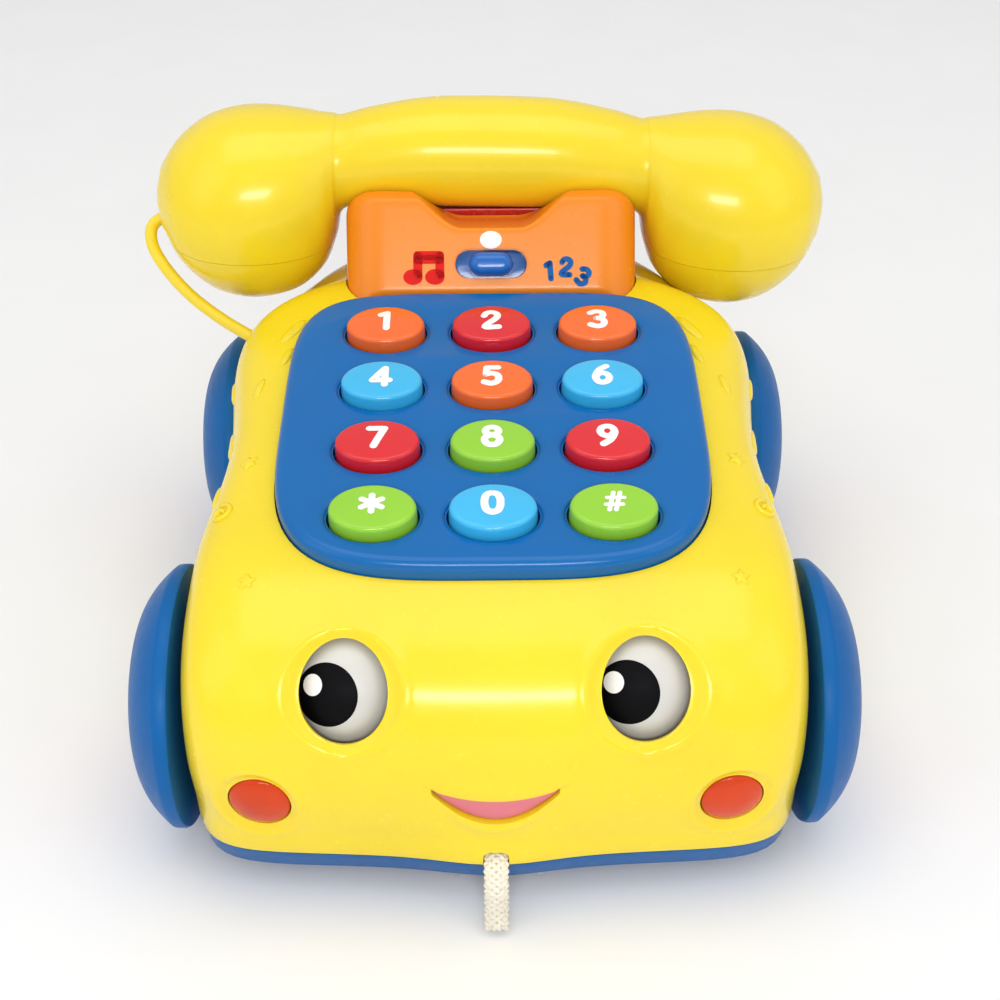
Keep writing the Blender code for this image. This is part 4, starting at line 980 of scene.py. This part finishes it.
def strokes(name, lines, half_width, lift, rise):
    """Printed lines with round ends that lie on a surface: lift(x, y) is its height, rise the ink's."""
    points = []
    faces = []
    lanes = 7
    for line in lines:
        sharp = len(line) < 5
        path = np.array(line, dtype=float) if sharp else spline(line, 5)
        dense = [path[0]]
        for start, end in zip(path, path[1:]):
            parts = max(int(np.linalg.norm(end - start) / (0.35 * MM)), 1)
            dense += [start + (end - start) * (part + 1) / parts for part in range(parts)]
        dense = np.array(dense)
        first = len(points)
        headings = np.gradient(dense, axis=0)
        headings /= np.linalg.norm(headings, axis=1)[:, None]
        for at, heading in zip(dense, headings):
            normal = np.array((-heading[1], heading[0]))
            for lane in range(lanes):
                across = half_width * (2 * lane / (lanes - 1) - 1)
                x, y = at + normal * across
                points.append((x, y, lift(x, y) + rise))
        faces += [tuple(first + i for i in face) for face in grid_faces(len(dense), lanes)]
        for x0, y0 in [dense[0], dense[-1], *(path[1:-1] if sharp else [])]:
            hub = len(points)
            points.append((x0, y0, lift(x0, y0) + rise))
            for step in range(20):
                angle = 2 * math.pi * step / 20
                x, y = x0 + half_width * math.cos(angle), y0 + half_width * math.sin(angle)
                points.append((x, y, lift(x, y) + rise))
            faces += [(hub, hub + 1 + step, hub + 1 + (step + 1) % 20) for step in range(20)]
    return mesh_piece(name, points, faces)


def keys():
    """Twelve domed oval keys and the white signs printed on them."""
    profile = key_profile()
    for name, place_at in KEY_PLACES.items():
        at = Matrix.Translation(place_at) @ Matrix.Rotation(KEYPAD_TILT, 4, "X")
        colour = next(s["material_slot"] for s in frame["record"]["subparts"] if s["node"] == f"key_{name}")
        key = place(turned(f"key_{name}_cap", profile, 72, [half * 0.99 for half in KEY_HALF]), at)
        dress(key, colour, f"key_{name}_body", [f"key_{name}"])
        size = 1.02 * MM if name not in ("star", "hash") else 0.92 * MM
        lines = [[((x - 2.1) * size, (y - 3.0) * size + 0.6 * MM) for x, y in line] for line in DIGITS[name]]
        width = {"star": 0.72, "hash": 0.5}.get(name, 0.82) * MM
        sign = strokes(f"key_{name}_sign", lines, width, key_height, 0.06 * MM)
        dress(place(sign, at), "print_white", f"key_{name}_body")


# Cradle, slider and handset


def handset_form(name, grow=0.0, around=96, steps=8):
    """The closed form of the handset: a bar between two round lobes."""
    right = spline(HANDSET_STATIONS, steps)
    tip = np.array([(HANDSET_HALF_LENGTH / MM - 0.35, 100.6, 92.2, 4.4)])
    right = np.concatenate([right, tip])
    left = right[:0:-1] * np.array((-1.0, 1.0, 1.0, 1.0))
    stations = np.concatenate([left, right])
    angles = 2 * math.pi * np.arange(around) / around
    x = np.repeat(stations[:, 0:1], around, axis=1)
    top, bottom, depth = (stations[:, i : i + 1] for i in (1, 2, 3))
    y = HANDSET_MIDDLE.y / MM + depth * np.sin(angles)[None, :]
    z = (top + bottom) / 2 + (top - bottom) / 2 * np.cos(angles)[None, :]
    points = (np.stack([x, y, z], axis=-1) * MM).reshape(-1, 3)
    rows = len(stations)
    faces = grid_faces(rows, around, close_columns=True)
    places = [Vector(point) for point in points]
    for side, row in ((-1, 0), (1, rows - 1)):
        tip_index = len(places)
        places.append(Vector((side * HANDSET_HALF_LENGTH, HANDSET_MIDDLE.y, HANDSET_MIDDLE.z)))
        faces += [(row * around + i, row * around + (i + 1) % around, tip_index) for i in range(around)]
    obj = mesh_piece(name, places, faces)
    if grow:
        push_skin(obj, lambda places, normals: np.full(len(places), grow))
    return obj


def askew(obj):
    """Tilts a shape the way the handset lies."""
    middle_at = Matrix.Translation(HANDSET_MIDDLE)
    return place(obj, middle_at @ Matrix.Rotation(HANDSET_TILT, 4, "Y") @ middle_at.inverted())


def handset():
    """The handset's top shell and the two caps under its ends, with holes for the voice."""
    seam = 0.06 * MM
    shell = handset_form("handset_moulding")
    cut(shell, box((-0.1, 0.0, 0.05), (0.1, 0.12, HANDSET_SEAM_Z + seam)))
    dress(askew(soften(shell, 40)), "shell_yellow", "handset", ["handset_shell"])
    for name, side in (("mouthpiece_cap", -1), ("earpiece_cap", 1)):
        cap = handset_form(f"{name}_moulding")
        low, high = sorted((side * 0.01, side * 0.1))
        combine(cap, box((low, 0.0, 0.05), (high, 0.12, HANDSET_SEAM_Z - seam)), "INTERSECT")
        holes = []
        for ring, count in ((0.0, 1), (5.5 * MM, 6)):
            for index in range(count):
                angle = 2 * math.pi * index / count
                x = side * 63 * MM + ring * math.cos(angle)
                y = HANDSET_MIDDLE.y + ring * math.sin(angle)
                hole = drilled(1.3 * MM, -6 * MM, 6 * MM)
                holes.append(place(hole, Matrix.Translation((x, y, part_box(name)[0].z))))
        cut(cap, together("holes", holes))
        dress(askew(soften(cap, 40)), "shell_yellow", "handset", [name])


def scoop():
    """The dip in the front of the cradle, rising smoothly to a shoulder on each side."""
    low_half, high_half, rise, count = 7 * MM, 22 * MM, 9 * MM, 20
    curve = []
    for index in range(count + 1):
        t = index / count
        curve.append((low_half + (high_half - low_half) * t, rise * t * t * (3 - 2 * t)))
    outline = [(-x, h) for x, h in reversed(curve)] + curve
    outline += [(high_half, 20 * MM), (-high_half, 20 * MM)]
    lip_y = CRADLE_FOOT.y + (LIP_Z - CRADLE_FOOT.z) / math.tan(CRADLE_SLOPE)
    stand = Matrix.Translation((0.0, lip_y, LIP_Z)) @ Matrix.Rotation(math.radians(75), 4, "X")
    return place(prism("scoop", outline, -14.5 * MM, 10 * MM), stand)


def face_frame(up_face):
    """A frame on the cradle's sloping face: X across, Y up the face, Z out of it."""
    along = Vector((0.0, math.cos(CRADLE_SLOPE), math.sin(CRADLE_SLOPE)))
    return Matrix.Translation(CRADLE_FOOT + up_face * along) @ Matrix.Rotation(CRADLE_SLOPE, 4, "X")


def cradle():
    """The orange rest, its edges rounded, with the slider's slot and the button's pocket."""
    rest = cradle_block("cradle_moulding", 0.0)
    top_z = CRADLE_FOOT.z + CRADLE_RISE - 4.6 * MM
    outline = rounded((-CRADLE_HALF_WIDTH, 0.04), (CRADLE_HALF_WIDTH, top_z), 8 * MM)
    stand = Matrix.Rotation(math.pi / 2, 4, "X")
    combine(rest, place(prism("shoulders", outline, -0.1, 0.0), stand), "INTERSECT")
    cut(rest, askew(handset_form("trough", grow=0.45 * MM, steps=4)), scoop())
    remoulded(rest, 0.5 * MM, 12)
    low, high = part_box("hook_button")
    # The pocket lets the dark red hook button show, as painted shade deep in the trough under the handset
    pocket = box((low.x, low.y + 1.5 * MM, 87 * MM), (high.x, high.y - 1.5 * MM, 108 * MM))
    slot = place(prism("slot", pill(8.8 * MM, 3.45 * MM), -7 * MM, 5 * MM), face_frame(SLOT_UP_FACE))
    rim = prism("slot_rim", pill(9.15 * MM, 3.8 * MM), -0.45 * MM, 5 * MM)
    cut(rest, pocket, slot, place(rim, face_frame(SLOT_UP_FACE)))
    dress(soften(rest, 30), "cradle_orange", "toy", ["cradle"])


def cradle_signs():
    """A white dot, a red pair of notes and a blue 1 2 3 printed on the cradle's face."""

    def flat(x, y):
        return 0.0

    dot = prism("slider_mark", ellipse((2.7 * MM, 2.15 * MM)), 0.0, 0.12 * MM, roll=0.05 * MM, steps=2)
    dress(place(dot, face_frame(12.3 * MM)), "print_white", "toy")
    beam = [[(-2.2, -1.6), (-2.2, 3.0), (3.2, 3.0), (3.2, -1.6)], [(-2.2, 2.1), (3.2, 2.1)]]
    beam = [[(x * MM, y * MM) for x, y in line] for line in beam]
    stems = strokes("note_stems", beam, 1.1 * MM, flat, 0.1 * MM)
    heads = []
    for x, y in ((-3.4, -2.2), (2.0, -2.2)):
        head = prism("note_head", ellipse((2.4 * MM, 1.9 * MM), 40), 0.0, 0.1 * MM)
        heads.append(place(head, Matrix.Translation((x * MM, y * MM, 0.0))))
    notes = together("note_sign", [stems, *heads])
    at = face_frame(5.6 * MM) @ Matrix.Translation((-15.8 * MM, 0.0, 0.0))
    dress(place(notes, at), "print_red", "toy")
    for digit, x, y, turn in (("1", 14.3, 4.6, 4), ("2", 18.4, 5.6, -8), ("3", 22.6, 3.2, -28)):
        size = 0.68 * MM
        lines = [[((a - 2.0) * size, (b - 3.0) * size) for a, b in line] for line in DIGITS[digit]]
        sign = strokes(f"cradle_sign_{digit}", lines, 0.68 * MM, flat, 0.1 * MM)
        at = face_frame(y * MM) @ Matrix.Translation((x * MM, 0.0, 0.0))
        at = at @ Matrix.Rotation(math.radians(turn), 4, "Z")
        dress(place(sign, at), "print_blue", "toy")


def slider():
    """The blue knob in its slot, on a plate that closes the slot from inside."""
    knob = prism("slider_knob", pill(5.4 * MM, 2.9 * MM), -3.0 * MM, 2.5 * MM, roll=2.3 * MM, steps=8)
    plate = prism("slider_plate", pill(12.8 * MM, 4.6 * MM), -3.6 * MM, -2.6 * MM, roll=0.3 * MM, steps=2)
    both = combine(knob, plate, "UNION")
    dress(soften(place(both, face_frame(SLOT_UP_FACE))), "slider_blue", "mode_slider_body", ["mode_slider"])


def hook_button():
    low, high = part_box("hook_button")
    half = high.x - 2 * MM
    button = box((-half, low.y + 1.85 * MM, 89 * MM), (half, high.y - 1.85 * MM, 99 * MM))
    flange = box((low.x, low.y, low.z), (high.x, high.y, low.z + 1.8 * MM))
    combine(button, flange, "UNION")
    cut(button, handset_form("hook_top", grow=0.4 * MM, steps=4))
    button.name = "hook_button_painted_shade"
    # Its dark red is painted shade for the trough under the handset, on the hook button that sits there
    dress(remoulded(button, 0.35 * MM, 3), "button_red", "hook", ["hook_button"])


# Face


def cap_patch(name, centre, out, offset, radius, ball_radius, rings=12, steps=56):
    """A round patch that lies on a ball, offset sideways and up from where the ball looks."""
    side = Vector((0.0, 0.0, 1.0)).cross(out).normalized()
    up = out.cross(side)
    heading = (out * ball_radius + side * offset[0] + up * offset[1]).normalized()
    across = up.cross(heading).normalized()
    rise = heading.cross(across)
    points = [centre + heading * ball_radius]
    faces = []
    for ring in range(1, rings + 1):
        tilt = math.asin(radius / ball_radius) * ring / rings
        for step in range(steps):
            angle = 2 * math.pi * step / steps
            spoke = across * math.cos(angle) + rise * math.sin(angle)
            points.append(centre + (heading * math.cos(tilt) + spoke * math.sin(tilt)) * ball_radius)
    for step in range(steps):
        after = (step + 1) % steps
        faces.append((0, 1 + step, 1 + after))
        for ring in range(rings - 1):
            first, second = 1 + ring * steps, 1 + (ring + 1) * steps
            faces.append((first + step, second + step, second + after, first + after))
    return mesh_piece(name, points, faces)


def eyes():
    """White balls with a printed pupil and a white glint, looking where the frame's eyes look."""
    arc = [EYEBALL_ARC * step / 24 for step in range(25)]
    inner_radius = EYE_RADIUS - EYEBALL_WALL
    section = [(EYE_RADIUS * math.sin(a), EYE_RADIUS * math.cos(a)) for a in arc]
    section += [(inner_radius * math.sin(a), inner_radius * math.cos(a)) for a in reversed(arc)]
    for side_name, centre in EYE_CENTRES.items():
        body = f"eye_{side_name}"
        ball = place(turned(f"eyeball_{side_name}_white", section, 96), eye_frame(side_name))
        dress(ball, "eye_white", body, [f"eyeball_{side_name}"])
        swing = Matrix.Rotation(EYE_REST, 3, Vector(JOINTS["eye_right_swing"]["axis"]))
        look = swing @ Vector((0.0, -math.cos(EYE_LEAN), math.sin(EYE_LEAN)))
        lifted = EYE_RADIUS + 0.04 * MM
        pupil = cap_patch(f"pupil_{side_name}", centre, look, (0, 0.35 * MM), PUPIL_RADIUS, lifted)
        dress(pupil, "pupil_black", body)
        lifted = EYE_RADIUS + 0.08 * MM
        glint = cap_patch(f"glint_{side_name}", centre, look, GLINT_OFFSET, GLINT_RADIUS, lifted)
        dress(glint, "print_white", body)


def front_plug(name, rings, depth, back):
    """A plug seen from the front as nested rings of (x, z) points, inner first; depth(ring) sinks each."""
    count = len(rings[0])
    points = []
    for index, ring in enumerate(rings):
        sunk = depth(index / (len(rings) - 1))
        for x, z in ring:
            front = SKIN.ray_cast(Vector((x, -0.2, z)), Vector((0.0, 1.0, 0.0)))[0]
            points.append((x, front.y + sunk, z))
    points += [(x, back, z) for x, z in rings[-1]]
    faces = grid_faces(len(rings) + 1, count, close_columns=True)
    faces.append(tuple(range(count)))
    faces.append(tuple(len(rings) * count + step for step in range(count)))
    return soften(mesh_piece(name, points, faces))


def headlights():
    """Domed clear lenses in their dished rings."""
    for side_name in SIDES:
        at = lamp_place(side_name)
        rings = []
        for step in range(1, 15):
            share = 0.97 * math.sin(math.pi / 2 * step / 14)
            oval = ellipse([radius * share for radius in LAMP_RADII], 72)
            rings.append([(at.x + x, at.z + z) for x, z in oval])

        def dome(t):
            return 0.75 * MM - 1.5 * MM * (1 - math.sin(math.pi / 2 * t) ** 2) + 0.6 * MM * t**8

        lens = front_plug(f"headlight_lens_{side_name}_clear", rings, dome, at.y + 4.5 * MM)
        dress(lens, "lens", "toy", [f"headlight_lens_{side_name}"])


def smile():
    """The pink lower lip, set a little into the front."""
    rings = []
    for share in (0.02, 0.25, 0.5, 0.75, 0.93, 1.0):
        outline = []
        for x, z in crescent(-0.02 * MM):
            spine = -(SMILE_DIPS[0] + SMILE_DIPS[1]) / 2 * (1 - (x / SMILE_HALF_WIDTH) ** 2)
            outline.append((x * (0.9 + 0.1 * share), SMILE_CORNER_Z + spine + (z - spine) * share))
        rings.append(outline)
    insert = front_plug("smile_lip", rings, lambda t: 0.7 * MM + 0.5 * MM * t**4, -79.0 * MM)
    dress(insert, "smile_pink", "toy", ["smile_insert"])


# Wheels


def wheels():
    """Domed wheels with rounded treads, and hub caps with a raised star."""
    dome = [(0.0, HUB_SEAT_X), (HUB_RADIUS, HUB_SEAT_X)]
    for step in range(19):
        radius = HUB_RADIUS + (WHEEL_RADIUS - 0.5 * MM - HUB_RADIUS) * step / 18
        fall = (radius - DOME_FLAT_RADIUS) / (WHEEL_RADIUS - DOME_FLAT_RADIUS)
        dome.append((radius, CROWN_X + DOME_RISE * (1 - fall**DOME_FULLNESS)))
    profile = dome + [
        (WHEEL_RADIUS - 0.1 * MM, CROWN_X + 0.1 * MM),
        (WHEEL_RADIUS, CROWN_X - 0.4 * MM),
        (WHEEL_RADIUS, WHEEL_INNER_X + 0.8 * MM),
        (WHEEL_RADIUS - 0.3 * MM, WHEEL_INNER_X + 0.2 * MM),
        (WHEEL_RADIUS - 0.9 * MM, WHEEL_INNER_X),
        (0.0, WHEEL_INNER_X),
    ]
    for end, axle in (("front", FRONT_AXLE), ("rear", REAR_AXLE)):
        for side_name, side in SIDES.items():
            body = f"{end}_wheels"
            name = f"{end}_{side_name}"
            wheel = toward_side(turned(f"wheel_{name}_dome", profile, 128), side, axle)
            dress(wheel, "wheel_blue", body, [f"wheel_{name}"])
            cap = toward_side(hub_cap(f"hub_cap_{name}_star"), side, axle)
            dress(cap, "hub_orange", body, [f"hub_cap_{name}"])


def hub_cap(name, rings=44, steps=150):
    """A shallow domed cap with a raised five-pointed star whose points are round lumps."""
    edge = HUB_RADIUS - GAP
    points = []
    for ring in range(rings + 1):
        radius = edge * ring / rings
        for step in range(steps):
            angle = 2 * math.pi * step / steps
            height = HUB_TOP_X - 1.4 * MM * (radius / edge) ** 2
            petal = edge * (0.62 + 0.26 * math.cos(5 * angle))
            star = float(smooth((petal - radius) / (1.3 * MM)))
            button = float(smooth((3.4 * MM - radius) / (1.2 * MM)))
            rim = math.exp(-(((radius - edge + 1.2 * MM) / (0.7 * MM)) ** 2))
            rise = 0.9 * MM * star + 0.5 * MM * button + 0.3 * MM * rim
            points.append((radius * math.cos(angle), radius * math.sin(angle), height + rise))
    for step in range(steps):
        angle = 2 * math.pi * step / steps
        points.append((edge * math.cos(angle), edge * math.sin(angle), HUB_SEAT_X + GAP))
    faces = grid_faces(rings + 2, steps, close_columns=True)
    faces.append(tuple((rings + 1) * steps + step for step in range(steps)))
    return weld(mesh_piece(name, points, faces))


# Cords

HANDSET_CORD = [
    (-83.0, 61.0, 93.6),
    (-86.2, 59.5, 92.6),
    (-87.4, 57.5, 90.4),
    (-86.4, 54.8, 86.8),
    (-82.4, 50.8, 82.2),
    (-76.4, 46.0, 77.9),
    (-69.4, 41.2, 74.7),
    (-62.7, 37.0, 72.5),
    (-56.0, 33.0, 70.8),
]
PULL_CORD = [
    (0.0, -76.0, 14.6),
    (0.0, -82.0, 14.8),
    (0.0, -86.2, 13.5),
    (0.0, -88.6, 10.0),
    (0.0, -89.8, 5.6),
    (0.0, -92.6, 1.9),
]
BRAID_HALF = (1.9 * MM, 0.75 * MM)
BRAID_PITCH = 8.5 * MM
YARNS_EACH_WAY = 6
HANDSET_CORD_RADIUS = 1.55 * MM


def tube(name, path, radius, around=12):
    """A round tube along points, closed at its ends."""
    path = np.array(path)
    points = []
    rows = len(path)
    headings = np.gradient(path, axis=0)
    for at, heading in zip(path, headings):
        ahead = Vector(heading).normalized()
        side = ahead.cross(Vector((0.0, 0.0, 1.0)))
        side = side.normalized() if side.length > 1e-6 else Vector((1.0, 0.0, 0.0))
        up = side.cross(ahead)
        for step in range(around):
            angle = 2 * math.pi * step / around
            points.append(Vector(at) + (side * math.cos(angle) + up * math.sin(angle)) * radius)
    faces = grid_faces(rows, around, close_columns=True)
    faces.append(tuple(range(around)))
    faces.append(tuple((rows - 1) * around + step for step in range(around)))
    return mesh_piece(name, points, faces)


def handset_cord():
    path = spline(HANDSET_CORD, 12) * MM
    cord = tube("handset_cord_line", path, HANDSET_CORD_RADIUS, 24)
    cord.data.materials.append(MATERIALS["cord_yellow"])
    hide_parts("handset_cord")
    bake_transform(cord)


def pull_cord():
    """A flat braid: yarns that turn both ways round a core and pass over and under each other."""
    centre = spline(PULL_CORD, 40) * MM
    length = np.concatenate([[0.0], np.cumsum(np.linalg.norm(np.diff(centre, axis=0), axis=1))])
    headings = np.gradient(centre, axis=0)
    headings /= np.linalg.norm(headings, axis=1)[:, None]
    side = np.array((1.0, 0.0, 0.0))
    normal = np.cross(headings, side)
    turns = 2 * math.pi * length / BRAID_PITCH
    yarns = []
    for way in (-1, 1):
        for index in range(YARNS_EACH_WAY):
            angle = way * turns + 2 * math.pi * index / YARNS_EACH_WAY
            over = 1 + 0.16 * way * np.cos(YARNS_EACH_WAY * turns + math.pi * index)
            reach_x = (BRAID_HALF[0] * np.cos(angle) * over)[:, None] * side
            reach_n = (BRAID_HALF[1] * np.sin(angle) * over)[:, None] * normal
            yarns.append(tube("yarn", centre + reach_x + reach_n, 0.52 * MM, 8))
    core = tube("core", centre, 0.6 * MM, 8)
    cord = together("pull_cord_braid", [*yarns, core])
    cord.data.shade_smooth()
    dress(cord, "cord_cream", "toy", ["pull_cord"])


# Carried-over pieces, stage, light and camera


def dress_carried_over():
    """Gives every CAD node that is still shown the procedural material of its slot."""
    slots = {part["node"]: part["material_slot"] for part in frame["record"]["subparts"]}
    for name, node in frame["nodes"].items():
        if node.hide_render:
            continue
        node.data.materials.clear()
        node.data.materials.append(MATERIALS[slots[name]])
        node.data.shade_smooth()
        node.data.set_sharp_from_angle(angle=math.radians(35))


FLOOR_SIZE = 12.0
HORIZON_LIGHT = 0.62
SKY_LIGHT = 0.76


def stage():
    """A pale floor and an even, pale studio round it."""
    half = FLOOR_SIZE / 2
    corners = [(-half, -half, 0), (half, -half, 0), (half, half, 0), (-half, half, 0)]
    floor = mesh_piece("floor", corners, [(0, 1, 2, 3)])
    paper = plastic((0.86, 0.86, 0.86), roughness=0.7, shade=0.01, coat=0.0, grain=0.0)
    paper.name = "paper"
    floor.data.materials.append(paper)
    world = bpy.data.worlds.new("studio")
    world.use_nodes = True
    nodes, links = world.node_tree.nodes, world.node_tree.links
    where = nodes.new("ShaderNodeTexCoord")
    axes = nodes.new("ShaderNodeSeparateXYZ")
    links.new(where.outputs["Generated"], axes.inputs["Vector"])
    rise = nodes.new("ShaderNodeMapRange")
    set_values(rise, {"From Min": 0.0, "From Max": 0.9, "To Min": HORIZON_LIGHT, "To Max": SKY_LIGHT})
    links.new(axes.outputs["Z"], rise.inputs["Value"])
    set_values(nodes["Background"], {"Color": (1.0, 1.0, 1.0, 1.0)})
    links.new(rise.outputs["Result"], nodes["Background"].inputs["Strength"])
    bpy.context.scene.world = world
    bpy.context.scene.view_settings.view_transform = "Standard"


def light(name, at, aim, size, power):
    lamp = bpy.data.lights.new(name, "AREA")
    lamp.shape = "RECTANGLE"
    lamp.size, lamp.size_y = size
    lamp.energy = power
    obj = bpy.data.objects.new(name, lamp)
    obj.location = at
    obj.rotation_euler = (Vector(aim) - Vector(at)).to_track_quat("-Z", "Y").to_euler()
    bpy.context.scene.collection.objects.link(obj)


def lights():
    light("front_softbox", (0.0, -0.655, 0.43), (0.0, 0.06, 0.10), (0.34, 0.10), 1.7)
    light("top_softbox", (0.0, -0.05, 1.25), (0.0, 0.0, 0.05), (1.3, 0.8), 4.2)
    light("left_softbox", (-0.9, -0.5, 0.7), (0.0, 0.0, 0.05), (0.7, 0.9), 1.2)
    light("right_softbox", (0.9, -0.5, 0.7), (0.0, 0.0, 0.05), (0.7, 0.9), 1.2)


CAMERA_PLACE = (0.0, -0.297, 0.257)
CAMERA_DOWN = 35.0
CAMERA_ROLL = -0.5
CAMERA_LENS = 54.0
CAMERA_SHIFT = (0.007, -0.01)


def camera():
    """The photograph's view, from in front and above."""
    data = bpy.data.cameras.new("camera")
    data.lens = CAMERA_LENS
    data.sensor_width = 36.0
    data.shift_x, data.shift_y = CAMERA_SHIFT
    obj = bpy.data.objects.new("camera", data)
    obj.location = CAMERA_PLACE
    obj.rotation_euler = (math.radians(90 - CAMERA_DOWN), 0.0, 0.0)
    obj.rotation_euler.rotate_axis("Z", math.radians(CAMERA_ROLL))
    bpy.context.scene.collection.objects.link(obj)
    bpy.context.scene.camera = obj


body_shell()
decoration()
base_rim()
keypad_panel()
keys()
cradle()
cradle_signs()
slider()
hook_button()
handset()
eyes()
headlights()
smile()
wheels()
handset_cord()
pull_cord()
dress_carried_over()
stage()
lights()
camera()
